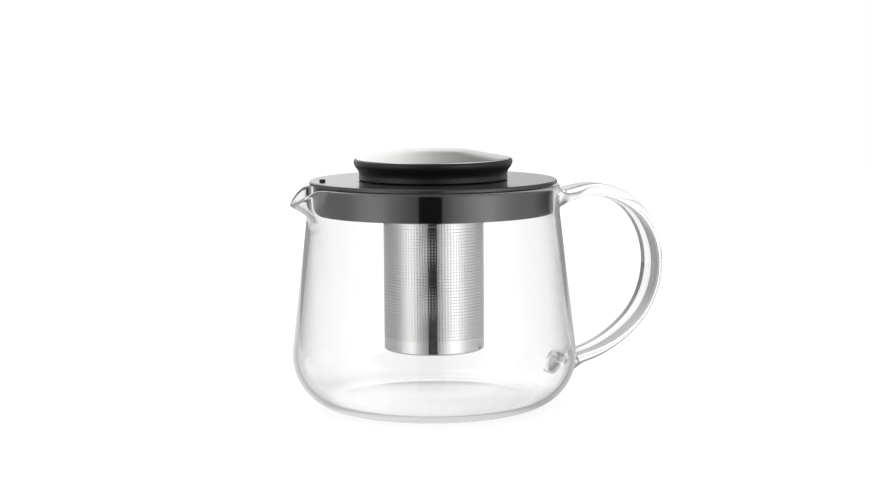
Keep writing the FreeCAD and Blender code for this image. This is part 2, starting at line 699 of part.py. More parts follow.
def make_cap(doc, s):
    """The domed steel cap with its turned-down edge."""
    shoulder = s.cap_radius - s.cap_edge
    edge_top = s.grip_top + s.cap_edge
    top = edge_top + s.cap_dome
    inner = s.cap_radius - s.cap_thick
    under = top - s.cap_thick
    outline = Outline(0, under).arc(inner, s.grip_top, dome_radius(inner, under - s.grip_top), -1)
    outline.line(s.cap_radius, s.grip_top).arc(shoulder, edge_top, s.cap_edge, 1)
    outline.arc(0, top, dome_radius(shoulder, s.cap_dome), 1)
    return turned_part(doc, "steel_cap", outline)


def make_core(doc, s):
    """The moulded cup inside the grip ring that carries the cap and the plug."""
    inner = s.grip_bore - s.core_wall
    floor = s.lid_under + s.core_wall
    outline = Outline(0, s.lid_under).line(s.grip_bore, s.lid_under).line(s.grip_bore, s.grip_top)
    outline.line(inner, s.grip_top).line(inner, floor).line(0, floor)
    return turned_part(doc, "lid_core", outline)


def make_plug(doc, s):
    """The hollow plug under the core that enters the strainer's well, with a groove for its seal."""
    seal_top = s.seal_under + s.seal_height
    inner = s.seal_groove - s.core_wall
    floor = s.plug_under + s.core_wall
    outline = Outline(0, s.plug_under).line(s.plug_radius, s.plug_under)
    outline.line(s.plug_radius, s.seal_under).line(s.seal_groove, s.seal_under)
    outline.line(s.seal_groove, seal_top).line(s.plug_radius, seal_top)
    outline.line(s.plug_radius, s.lid_under).line(inner, s.lid_under).line(inner, floor).line(0, floor)
    return turned_part(doc, "lid_plug", outline)


def make_seal(doc, s):
    """The silicone ring in the plug's groove, with a rounded lip that reaches to the well."""
    lip = s.well_radius - s.seal_gap
    soft = s.seal_height / 2
    seal_top = s.seal_under + s.seal_height
    outline = Outline(s.seal_groove, s.seal_under).line(lip - soft, s.seal_under)
    outline.arc(lip, s.seal_under + soft, soft, 1).arc(lip - soft, seal_top, soft, 1)
    outline.line(s.seal_groove, seal_top)
    return turned_part(doc, "lid_seal", outline)


MAKERS = (make_jug, make_handle, make_plate, make_seat, make_collar, make_vent, make_sleeve, make_cup,
          make_flange, make_grip, make_cap, make_core, make_plug, make_seal)


def check(doc, bodies):
    """Stop if any object failed, or a sub-part is not one sound solid."""
    for thing in doc.Objects:
        if "Invalid" in thing.State or "Error" in thing.State:
            raise RuntimeError("%s did not build: %s" % (thing.Label, thing.State))
    for body in bodies:
        shape = body.Shape
        if shape.isNull() or not shape.isValid() or len(shape.Solids) != 1:
            raise RuntimeError("%s is not one sound solid" % body.Label)


def main():
    """Build the document, check it and write each sub-part."""
    doc = FreeCAD.newDocument("teapot")
    s = derive(make_sheet(doc))
    bodies = [make(doc, s) for make in MAKERS]
    doc.recompute()
    check(doc, bodies)
    os.makedirs("parts", exist_ok=True)
    for body in bodies:
        body.Shape.exportStep("parts/%s.step" % body.Label)
        print("%-16s %8.2f cm3" % (body.Label, body.Shape.Volume / 1000))


main()
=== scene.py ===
"""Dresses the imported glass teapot: blown glass, a perforated steel strainer, a black plate and a lid.

The pot stands on the XY plane with its axis on +Z, its spout towards -X and its handle towards +X.
Lengths are in metres. Sizes that are named in millimetres are multiplied by MM.
"""

import logging
import math
from collections.abc import Callable
from dataclasses import Field, dataclass, field
from enum import Enum

import bmesh
import bpy
from mathutils import Matrix, Vector


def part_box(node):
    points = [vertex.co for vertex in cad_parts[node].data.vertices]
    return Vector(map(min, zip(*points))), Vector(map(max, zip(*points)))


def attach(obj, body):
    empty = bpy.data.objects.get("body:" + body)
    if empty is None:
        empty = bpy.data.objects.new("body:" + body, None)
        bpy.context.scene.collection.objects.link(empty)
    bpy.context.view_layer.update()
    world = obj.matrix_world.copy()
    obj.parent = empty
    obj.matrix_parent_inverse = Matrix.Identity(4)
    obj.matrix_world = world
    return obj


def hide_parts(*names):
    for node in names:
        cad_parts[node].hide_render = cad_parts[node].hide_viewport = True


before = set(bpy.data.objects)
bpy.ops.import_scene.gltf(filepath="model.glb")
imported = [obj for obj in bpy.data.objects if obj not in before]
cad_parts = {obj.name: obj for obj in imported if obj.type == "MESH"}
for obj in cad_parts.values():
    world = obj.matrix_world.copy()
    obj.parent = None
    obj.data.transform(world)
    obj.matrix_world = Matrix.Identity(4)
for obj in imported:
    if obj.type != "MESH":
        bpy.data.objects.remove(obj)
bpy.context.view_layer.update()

MM = 0.001
FULL_TURN = 2 * math.pi
TURNED_SEGMENTS = 192
ARC_STEP = math.radians(9)
SEAM_MARK = "fused_seam"
# A radius below this lies on the axis.
ON_AXIS = 1e-9
# Most values of a noise texture lie between these two.
NOISE_LOW = 0.3
NOISE_HIGH = 0.7
# A count of light bounces above this is at least one.
AT_LEAST_ONCE = 0.5

log = logging.getLogger("teapot")


class Body(Enum):
    """The bodies that lift apart."""

    JUG = "jug"
    HOLDER = "holder"
    STRAINER = "strainer"
    LID = "lid"


class Slot(Enum):
    """The record's material slots."""

    GLASS = "clear_glass"
    PLASTIC = "satin_plastic"
    SILICONE = "black_silicone"
    SHEET = "stainless_sheet"
    RUBBER = "grip_rubber"
    STEEL = "satin_steel"


class Grain(Enum):
    """How a steel surface was worked."""

    ROLLED = "rolled"
    SPUN = "spun"


class ClosedEdge(Enum):
    """Which edge of a sheet cell is closed."""

    NEITHER = "neither"
    LOW = "low"
    HIGH = "high"


class Blend(Enum):
    """How a layer of light lies on what is below it."""

    OVER = "MIX"
    TIMES = "MULTIPLY"
    BRIGHTER = "LIGHTEN"


def linear(hex_code: str) -> tuple[float, float, float, float]:
    """Turn an sRGB hex colour into linear red, green, blue and alpha.

    Args:
        hex_code: The colour, such as "#1c1d1f".

    Returns:
        The linear colour with an alpha of 1.
    """
    parts = [int(hex_code[i:i + 2], 16) / 255 for i in (1, 3, 5)]
    red, green, blue = (p / 12.92 if p <= 0.04045 else ((p + 0.055) / 1.055) ** 2.4 for p in parts)
    return red, green, blue, 1.0


def add_node(tree: bpy.types.NodeTree, kind: str, settings: dict | None = None,
             inputs: dict | None = None) -> bpy.types.Node:
    """Add a node with its settings, input values and links.

    Args:
        tree: The tree that the node joins.
        kind: The node's type name.
        settings: Properties to set on the node.
        inputs: For each input, by name or number, a value or the socket that feeds it.

    Returns:
        The new node.
    """
    node = tree.nodes.new(kind)
    for name, value in (settings or {}).items():
        setattr(node, name, value)
    for name, value in (inputs or {}).items():
        if isinstance(value, bpy.types.NodeSocket):
            tree.links.new(value, node.inputs[name])
        else:
            node.inputs[name].default_value = value
    return node


def new_material(name: str) -> tuple[bpy.types.Material, bpy.types.NodeTree, bpy.types.Node]:
    """Start a node material.

    Args:
        name: The material's name.

    Returns:
        The material, its emptied tree and its output node.
    """
    material = bpy.data.materials.new(name)
    material.use_nodes = True
    tree = material.node_tree
    tree.nodes.clear()
    return material, tree, tree.nodes.new("ShaderNodeOutputMaterial")


@dataclass(frozen=True)
class GlassFinish:
    """Blown borosilicate glass, fire polished.

    It is clear, with a faint lasting waviness from the blowing that bends what is seen through it,
    and it greys where the sight line runs a long way through the wall, which draws its edges.
    Where a ray has mirrored inside the glass again and again, the glass adds a painted glow: an
    emission that stands in for the light trapped there, most of it in the thick base.
    """

    name: str = "borosilicate_glass"
    tint: str = "#ffffff"
    ior: float = 1.47
    depth_colour: str = "#e2e7e6"
    depth_density: float = 8.0
    wave_length: float = 26 * MM
    wave_height: float = 0.015 * MM
    # Painted glow: emission strength in the base and in the wall, the radii where one gives way to the other,
    # and how many mirrorings come before it.
    base_painted_glow: float = 0.24
    wall_painted_glow: float = 0.11
    base_reach: tuple[float, float] = (42 * MM, 54 * MM)
    painted_glow_after: float = 2.5
    seam_colour: str = "#6c6e6e"
    seam_rough: float = 0.45

    def make(self) -> bpy.types.Material:
        """Build the material.

        Returns:
            The material.
        """
        material, tree, output = new_material(self.name)
        place = add_node(tree, "ShaderNodeTexCoord")
        waves = add_node(tree, "ShaderNodeTexNoise", inputs={
            "Vector": place.outputs["Object"], "Scale": 1 / self.wave_length, "Detail": 1.0})
        bump = add_node(tree, "ShaderNodeBump", inputs={
            "Height": waves.outputs["Fac"], "Strength": 1.0, "Distance": self.wave_height})
        path = add_node(tree, "ShaderNodeLightPath").outputs
        # Painted glow: rays that have mirrored more than the given number of times get an emission, stronger
        # in the base than in the wall.
        trapped = add_node(tree, "ShaderNodeMath", {"operation": "GREATER_THAN"},
                           {0: path["Glossy Depth"], 1: self.painted_glow_after})
        flat = add_node(tree, "ShaderNodeVectorMath", {"operation": "MULTIPLY"},
                        {0: place.outputs["Object"], 1: (1.0, 1.0, 0.0)})
        out = add_node(tree, "ShaderNodeVectorMath", {"operation": "LENGTH"}, {0: flat.outputs[0]})
        level = add_node(tree, "ShaderNodeMapRange", {"interpolation_type": "SMOOTHSTEP"}, {
            "Value": out.outputs["Value"], "From Min": self.base_reach[0], "From Max": self.base_reach[1],
            "To Min": self.base_painted_glow, "To Max": self.wall_painted_glow})
        glow = add_node(tree, "ShaderNodeMath", {"operation": "MULTIPLY"},
                        {0: trapped.outputs[0], 1: level.outputs["Result"]})
        seam = add_node(tree, "ShaderNodeAttribute", {"attribute_name": SEAM_MARK}).outputs["Fac"]
        colour = add_node(tree, "ShaderNodeMix", {"data_type": "RGBA"}, {
            "Factor": seam, 6: linear(self.tint), 7: linear(self.seam_colour)})
        rough = add_node(tree, "ShaderNodeMath", {"operation": "MULTIPLY"}, {0: seam, 1: self.seam_rough})
        # The painted glow enters the glass as its emission.
        glass = add_node(tree, "ShaderNodeBsdfPrincipled", inputs={
            "Base Color": colour.outputs[2], "Roughness": rough.outputs[0], "IOR": self.ior,
            "Transmission Weight": 1.0, "Normal": bump.outputs["Normal"],
            "Emission Color": linear(self.tint), "Emission Strength": glow.outputs[0]})
        depth = add_node(tree, "ShaderNodeVolumeAbsorption", inputs={
            "Color": linear(self.depth_colour), "Density": self.depth_density})
        tree.links.new(glass.outputs["BSDF"], output.inputs["Surface"])
        tree.links.new(depth.outputs["Volume"], output.inputs["Volume"])
        return material


@dataclass(frozen=True)
class SteelFinish:
    """Stainless steel, either cold-rolled sheet or a spun and brushed cap.

    Rolled sheet mirrors its surroundings in long upright streaks. A spun cap breaks them up into
    a soft sheen by fine rings about its axis. The lines are drawn wider than real ones, so that they show.
    """

    name: str
    colour: str
    grain: Grain
    smooth: float
    rough: float
    line_width: float
    line_length: float
    line_depth: float

    def make(self) -> bpy.types.Material:
        """Build the material.

        Returns:
            The material.
        """
        material, tree, output = new_material(self.name)
        place = add_node(tree, "ShaderNodeTexCoord").outputs["Object"]
        if self.grain is Grain.SPUN:
            apart = add_node(tree, "ShaderNodeSeparateXYZ", inputs={"Vector": place})
            flat = add_node(tree, "ShaderNodeCombineXYZ", inputs={
                "X": apart.outputs["X"], "Y": apart.outputs["Y"]})
            ring = add_node(tree, "ShaderNodeVectorMath", {"operation": "LENGTH"}, {0: flat.outputs[0]})
            place = add_node(tree, "ShaderNodeCombineXYZ", inputs={"X": ring.outputs["Value"]}).outputs[0]
        stretch = (1 / self.line_width, 1 / self.line_width, 1 / self.line_length)
        streaks = add_node(tree, "ShaderNodeMapping", inputs={"Vector": place, "Scale": stretch})
        lines = add_node(tree, "ShaderNodeTexNoise", inputs={
            "Vector": streaks.outputs["Vector"], "Scale": 1.0, "Detail": 2.0}).outputs["Fac"]
        rough = add_node(tree, "ShaderNodeMapRange", inputs={
            "Value": lines, "From Min": NOISE_LOW, "From Max": NOISE_HIGH,
            "To Min": self.smooth, "To Max": self.rough})
        bump = add_node(tree, "ShaderNodeBump", inputs={
            "Height": lines, "Strength": 1.0, "Distance": self.line_depth})
        steel = add_node(tree, "ShaderNodeBsdfPrincipled", inputs={
            "Base Color": linear(self.colour), "Metallic": 1.0,
            "Roughness": rough.outputs["Result"], "Normal": bump.outputs["Normal"]})
        tree.links.new(steel.outputs["BSDF"], output.inputs["Surface"])
        return material


@dataclass(frozen=True)
class MouldedFinish:
    """A moulded black plastic, silicone or rubber.

    The mould leaves a fine grain that breaks up its gloss, and faint flow marks that shift its colour.
    The grain is drawn coarser than a real one, so that it shows.
    """

    name: str
    colour: str
    flow_colour: str
    smooth: float
    rough: float
    grain_size: float
    grain_depth: float
    ior: float = 1.5
    sheen: float = 0.0
    flow_size: float = 18 * MM

    def make(self) -> bpy.types.Material:
        """Build the material.

        Returns:
            The material.
        """
        material, tree, output = new_material(self.name)
        place = add_node(tree, "ShaderNodeTexCoord").outputs["Object"]
        flow = add_node(tree, "ShaderNodeTexNoise", inputs={
            "Vector": place, "Scale": 1 / self.flow_size, "Detail": 3.0})
        colour = add_node(tree, "ShaderNodeMix", {"data_type": "RGBA"}, {
            "Factor": flow.outputs["Fac"], 6: linear(self.colour), 7: linear(self.flow_colour)})
        grain = add_node(tree, "ShaderNodeTexNoise", inputs={
            "Vector": place, "Scale": 1 / self.grain_size, "Detail": 2.0}).outputs["Fac"]
        rough = add_node(tree, "ShaderNodeMapRange", inputs={
            "Value": grain, "From Min": NOISE_LOW, "From Max": NOISE_HIGH,
            "To Min": self.smooth, "To Max": self.rough})
        bump = add_node(tree, "ShaderNodeBump", inputs={
            "Height": grain, "Strength": 1.0, "Distance": self.grain_depth})
        skin = add_node(tree, "ShaderNodeBsdfPrincipled", inputs={
            "Base Color": colour.outputs[2], "Roughness": rough.outputs["Result"], "IOR": self.ior,
            "Sheen Weight": self.sheen, "Normal": bump.outputs["Normal"]})
        tree.links.new(skin.outputs["BSDF"], output.inputs["Surface"])
        return material


# The plate is satin ABS: dark, yet it mirrors the pale surroundings at a low angle.
PLATE_PLASTIC = MouldedFinish("satin_abs", "#2e2f31", "#27282a", 0.09, 0.14, 0.5 * MM, 0.0004 * MM, 1.6)
# The collar, the vent and the seal are smooth black silicone: near black, with a clear gloss.
COLLAR_SILICONE = MouldedFinish("black_silicone", "#161617", "#101011", 0.07, 0.1,
                                0.5 * MM, 0.0002 * MM, 1.43)
# The grip is soft-touch rubber: deep black with a faint bloom along its edges.
GRIP_RUBBER = MouldedFinish("grip_rubber", "#0a0a0b", "#0f0f10", 0.34, 0.46,
                            0.6 * MM, 0.010 * MM, 1.45, 0.02)
# The strainer is bright rolled stainless sheet, polished, with upright rolling lines.
STRAINER_SHEET = SteelFinish("rolled_stainless", "#c8c8c7", Grain.ROLLED, 0.06, 0.10,
                             0.35 * MM, 14 * MM, 0.0012 * MM)
# The cap is spun stainless with a satin brushing in rings.
CAP_STEEL = SteelFinish("spun_satin_stainless", "#e0dfdc", Grain.SPUN, 0.10, 0.15,
                        0.45 * MM, 1.0, 0.0008 * MM)
# The jug and its handle are clear blown glass, drawn by their darker edges.
JUG_GLASS = GlassFinish()


def arc_points(start: Vector, end: Vector, bulge: float) -> list[Vector]:
    """Points along an arc between two points of a plane.

    Args:
        start: The arc's first point, which is not returned.
        end: The arc's last point, which is returned.
        bulge: How far the arc's middle stands to the left of the straight run.

    Returns:
        Evenly spaced points after start, up to end.
    """
    chord = end - start
    half = chord.length / 2
    radius = (half * half + bulge * bulge) / (2 * abs(bulge))
    left = Vector((-chord.y, chord.x)).normalized()
    centre = (start + end) / 2 + left * (bulge - math.copysign(radius, bulge))
    sweep = -math.copysign(4 * math.atan(abs(bulge) / half), bulge)
    begin = math.atan2(start.y - centre.y, start.x - centre.x)
    steps = max(2, math.ceil(abs(sweep) / ARC_STEP))
    turns = (begin + sweep * step / steps for step in range(1, steps + 1))
    return [centre + Vector((math.cos(turn), math.sin(turn))) * radius for turn in turns]


class Outline:
    """An outline in the plane of radius and height, drawn corner by corner."""

    def __init__(self, radius: float, height: float) -> None:
        """Start at one corner."""
        self.points = [Vector((radius, height))]
        self.rounds: dict[int, float] = {}

    def line(self, radius: float, height: float, rounded: float = 0.0) -> "Outline":
        """Run straight to the next corner.

        Args:
            radius: The corner's distance from the axis.
            height: The corner's height.
            rounded: The radius of the round on the corner, where straight runs meet there.

        Returns:
            The outline itself.
        """
        self.points.append(Vector((radius, height)))
        if rounded:
            self.rounds[len(self.points) - 1] = rounded
        return self

    def arc(self, radius: float, height: float, bulge: float) -> "Outline":
        """Run to the next corner on an arc whose middle stands bulge to the left of the run."""
        self.points.extend(arc_points(self.points[-1], Vector((radius, height)), bulge))
        return self

    def drawn(self) -> list[Vector]:
        """The outline's points, with the marked corners rounded.

        Returns:
            The points in order.
        """
        result = []
        count = len(self.points)
        for index, corner in enumerate(self.points):
            if index not in self.rounds:
                result.append(corner)
                continue
            back = (self.points[index - 1] - corner).normalized()
            ahead = (self.points[(index + 1) % count] - corner).normalized()
            half = back.angle(ahead) / 2
            reach = self.rounds[index] / math.tan(half)
            start, end = corner + back * reach, corner + ahead * reach
            rise = self.rounds[index] * (1 - math.sin(half))
            chord = end - start
            side = chord.x * (corner.y - start.y) - chord.y * (corner.x - start.x)
            result.append(start)
            result.extend(arc_points(start, end, math.copysign(rise, side)))
        return result


def finished_mesh(shape: bmesh.types.BMesh, name: str, sharp: float = math.radians(40)) -> bpy.types.Mesh:
    """Turn a closed shape into a smooth mesh whose faces point outwards.

    Args:
        shape: The shape, which is freed.
        name: The mesh's name.
        sharp: Edges that bend more than this stay crisp.

    Returns:
        The mesh.
    """
    bmesh.ops.recalc_face_normals(shape, faces=shape.faces)
    mesh = bpy.data.meshes.new(name)
    shape.to_mesh(mesh)
    shape.free()
    mesh.shade_smooth()
    mesh.set_sharp_from_angle(angle=sharp)
    return mesh


def join_rings(shape: bmesh.types.BMesh, low: list, high: list) -> None:
    """Put faces between two closed rings of vertices, either of which may be a single point.

    Args:
        shape: The shape that gets the faces.
        low: The first ring.
        high: The second ring.
    """
    count = max(len(low), len(high))
    for index in range(count):
        after = (index + 1) % count
        corners = [low[index % len(low)], low[after % len(low)],
                   high[after % len(high)], high[index % len(high)]]
        distinct = list(dict.fromkeys(corners))
        if len(distinct) > 2:
            shape.faces.new(distinct)


def turned_mesh(name: str, outline: Outline, centre: Vector = Vector((0, 0)),
                segments: int = TURNED_SEGMENTS) -> bpy.types.Mesh:
    """Turn an outline about an upright axis into a closed mesh.

    An outline that starts on the axis also ends there. Any other is closed by joining its ends.

    Args:
        name: The mesh's name.
        outline: The outline.
        centre: Where the axis stands.
        segments: How many steps a full turn has.

    Returns:
        The mesh.
    """
    shape = bmesh.new()
    rings = []
    for radius, height in outline.drawn():
        turns = range(segments) if radius > ON_AXIS else range(1)
        rings.append([shape.verts.new((centre.x + radius * math.cos(FULL_TURN * turn / segments),
                                       centre.y + radius * math.sin(FULL_TURN * turn / segments),
                                       height)) for turn in turns])
    if len(rings[0]) > 1:
        rings.append(rings[0])
    for low, high in zip(rings, rings[1:]):
        join_rings(shape, low, high)
    return finished_mesh(shape, name)


def freeze(piece: bpy.types.Object) -> None:
    """Replace a piece's mesh by what its modifiers make of it, and remove them.

    Args:
        piece: The piece.
    """
    graph = bpy.context.evaluated_depsgraph_get()
    made = bpy.data.meshes.new_from_object(piece.evaluated_get(graph), depsgraph=graph)
    piece.modifiers.clear()
    piece.data = made


def new_object(name: str, mesh: bpy.types.Mesh) -> bpy.types.Object:
    """Put a mesh into the scene as an object at the origin.

    Args:
        name: The object's name.
        mesh: Its mesh.

    Returns:
        The object.
    """
    thing = bpy.data.objects.new(name, mesh)
    bpy.context.scene.collection.objects.link(thing)
    return thing


def set_piece(piece: bpy.types.Object, body: Body, node: str) -> None:
    """Let a piece ride on its body in place of a CAD node.

    Args:
        piece: The finished piece.
        body: The body that it moves with.
        node: The CAD node that it stands for.
    """
    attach(piece, body.value)
    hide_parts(node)
    log.info("%s: %d faces on %s", piece.name, len(piece.data.polygons), body.value)


def turned_piece(name: str, outline: Outline, material: bpy.types.Material, body: Body,
                 node: str, centre: Vector = Vector((0, 0)), segments: int = TURNED_SEGMENTS) -> None:
    """Turn a piece, let its broad faces rule its shading, dress it and set it on its body.

    Args:
        name: The piece's name.
        outline: Its outline.
        material: Its finish.
        body: The body that it moves with.
        node: The CAD node that it stands for.
        centre: Where its axis stands.
        segments: How many steps a full turn has.
    """
    piece = new_object(name, turned_mesh(name, outline, centre, segments))
    piece.modifiers.new("broad_faces_rule", "WEIGHTED_NORMAL").keep_sharp = True
    freeze(piece)
    piece.data.materials.append(material)
    set_piece(piece, body, node)


def reach(node: str) -> float:
    """How far a CAD node reaches along +X."""
    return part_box(node)[1].x


def foot(node: str) -> float:
    """The lowest height of a CAD node."""
    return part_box(node)[0].z


def top(node: str) -> float:
    """The greatest height of a CAD node."""
    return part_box(node)[1].z


def from_cad(measure: Callable[[str], float], node: str) -> Field:
    """A field whose value is measured on a CAD node."""
    return field(default_factory=lambda: measure(node))


def smooth_step(share: float) -> float:
    """Ease from 0 to 1."""
    share = min(max(share, 0.0), 1.0)
    return share * share * (3 - 2 * share)


@dataclass
class Jug:
    """The blown glass jug with its pulled pouring lip."""

    belly_radius: float = field(default_factory=lambda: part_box("glass_jug")[1].y)
    rim_height: float = from_cad(top, "glass_jug")
    lip_reach: float = field(default_factory=lambda: -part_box("glass_jug")[0].x)
    # How far the lip's tip stops short of the CAD model's.
    lip_short: float = 1.615 * MM
    neck_radius: float = 61.5 * MM
    neck_height: float = 94 * MM
    heel_radius: float = 25.8 * MM
    heel_height: float = 24.6 * MM
    heel_turn: float = math.radians(60)
    inner_heel_turn: float = math.radians(45)
    wall: float = 2.3 * MM
    floor: float = 3.4 * MM
    kick_radius: float = 30 * MM
    kick_width: float = 26 * MM
    kick_height: float = 0.08 * MM
    lip_foot: float = 91 * MM
    lip_drop: float = 6.6 * MM
    lip_spread: float = math.radians(20)
    lip_point: float = 3.0
    lip_trough: float = math.radians(12)
    lip_hollow: float = 1.7
    lip_flare: float = 1.2
    lip_droop: float = 1.6
    segments: int = 288
    wall_rows: int = 16
    kick_steps: int = 12
    neck_rows: int = 26
    rim_steps: int = 10
    probe: float = 0.05 * MM

    def side(self, inset: float, low: float, turn: float) -> Outline:
        """The heel and wall, from the level floor up to the foot of the lip.

        Args:
            inset: How far inside the outer face it lies.
            low: The height of the level part that the heel runs into.
            turn: How far below level the heel's main round ends and a tighter one takes over.

        Returns:
            The outline.
        """
        centre = Vector((self.belly_radius - self.heel_radius, self.heel_height))
        heel = self.heel_radius - inset
        lean = math.atan2(self.belly_radius - self.neck_radius, self.neck_height - self.heel_height)
        sink = math.sin(turn)
        tight = (centre.y - low - heel * sink) / (1 - sink)
        change = centre + Vector((math.cos(turn), -sink)) * heel
        flat = change.x - tight * math.cos(turn)
        outline = Outline(flat, low)
        outline.arc(change.x, change.y, -tight * (1 - math.cos((math.pi / 2 - turn) / 2)))
        shoulder = centre + Vector((math.cos(lean), math.sin(lean))) * heel
        outline.arc(shoulder.x, shoulder.y, -heel * (1 - math.cos((turn + lean) / 2)))
        neck = Vector((self.neck_radius - inset, self.neck_height))
        for step in range(1, self.wall_rows):
            point = shoulder.lerp(neck, step / self.wall_rows)
            if point.y < self.lip_foot - self.wall:
                outline.line(point.x, point.y)
        return outline

    def outside(self) -> list[Vector]:
        """The outer face from the centre of the base to the foot of the lip.

        Returns:
            Its points.
        """
        points = [Vector((0, self.kick_height))]
        for step in range(self.kick_steps + 1):
            share = step / self.kick_steps
            across = self.kick_radius + self.kick_width * (share - 0.5)
            points.append(Vector((across, self.kick_height * (1 - smooth_step(share)))))
        return points + self.side(0.0, 0.0, self.heel_turn).drawn()

    def inside(self) -> list[Vector]:
        """The inner face from the centre of the floor to the foot of the lip."""
        return [Vector((0, self.floor))] + self.side(self.wall, self.floor, self.inner_heel_turn).drawn()

    def neck_point(self, height: float, turn: float) -> Vector:
        """A point of the neck's middle surface, which is drawn out into the lip.

        Args:
            height: Height on the neck before the lip is pulled.
            turn: Direction about the axis.

        Returns:
            The point.
        """
        radius = self.neck_radius - self.wall / 2
        slope = (self.belly_radius - self.neck_radius) / (self.neck_height - self.heel_height)
        below = max(self.neck_height - height, 0.0)
        radius += slope * below
        crown = self.rim_height - self.wall / 2
        share = min(max((height - self.lip_foot) / (crown - self.lip_foot), 0.0), 1.0)
        away = abs(math.remainder(turn - math.pi, FULL_TURN))
        pull = math.cos(min(away / self.lip_spread, 1.0) * math.pi / 2) ** self.lip_point
        sink = math.cos(min(away / self.lip_trough, 1.0) * math.pi / 2) ** self.lip_hollow
        length = self.lip_reach - self.lip_short - self.neck_radius
        radius += length * pull * share ** self.lip_flare
        height -= self.lip_drop * sink * share ** self.lip_droop
        return Vector((radius * math.cos(turn), radius * math.sin(turn), height))

    def neck_frame(self, height: float, turn: float) -> tuple[Vector, Vector, Vector]:
        """A point of the neck's middle surface with its outward and upward directions.

        Args:
            height: Height on the neck before the lip is pulled.
            turn: Direction about the axis.

        Returns:
            The point, the outward direction and the upward direction.
        """
        point = self.neck_point(height, turn)
        above, below = (self.neck_point(height + step, turn) for step in (self.probe, -self.probe))
        up = (above - below).normalized()
        around = self.neck_point(height, turn + self.probe / point.length) - point
        return point, around.cross(up).normalized(), up

    def section(self, turn: float) -> list[Vector]:
        """The wall's closed section in one direction, from the base's middle to the floor's middle.

        Args:
            turn: The direction about the axis.

        Returns:
            The section's points.
        """
        def stand(points: list[Vector]) -> list[Vector]:
            """Points of radius and height, stood up in this direction."""
            return [Vector((p.x * math.cos(turn), p.x * math.sin(turn), p.y)) for p in points]

        crown = self.rim_height - self.wall / 2
        heights = [self.lip_foot + (crown - self.lip_foot) * row / self.neck_rows
                   for row in range(self.neck_rows + 1)]
        frames = [self.neck_frame(height, turn) for height in heights]
        half = self.wall / 2
        outer = [point + out * half for point, out, _ in frames]
        inner = [point - out * half for point, out, _ in frames]
        point, out, up = frames[-1]
        bends = [math.pi * step / self.rim_steps for step in range(1, self.rim_steps)]
        rim = [point + (out * math.cos(bend) + up * math.sin(bend)) * half for bend in bends]
        return stand(self.outside()) + outer + rim + inner[::-1] + stand(self.inside()[::-1])

    def outer_radius(self, height: float) -> float:
        """The outer face's radius at a height above the heel's foot, away from the lip.

        Args:
            height: The height.

        Returns:
            The radius.
        """
        points = self.side(0.0, 0.0, self.heel_turn).drawn()
        points += [Vector((self.neck_radius, self.neck_height)), Vector((self.neck_radius, self.rim_height))]
        for low, high in zip(points, points[1:]):
            if low.y <= height <= high.y and high.y > low.y:
                return low.lerp(high, (height - low.y) / (high.y - low.y)).x
        return points[0].x

    def build(self, glass: bpy.types.Material) -> None:
        """Make the jug's glass.

        Args:
            glass: Its finish.
        """
        shape = bmesh.new()
        columns = [self.section(FULL_TURN * step / self.segments) for step in range(self.segments)]
        rows = len(columns[0])
        rings = []
        for row in range(rows):
            ends = row in (0, rows - 1)
            rings.append([shape.verts.new(column[row]) for column in (columns[:1] if ends else columns)])
        for low, high in zip(rings, rings[1:]):
            join_rings(shape, low, high)
        piece = new_object("jug_glass", finished_mesh(shape, "jug_glass", math.pi))
        piece.data.materials.append(glass)
        set_piece(piece, Body.JUG, "glass_jug")


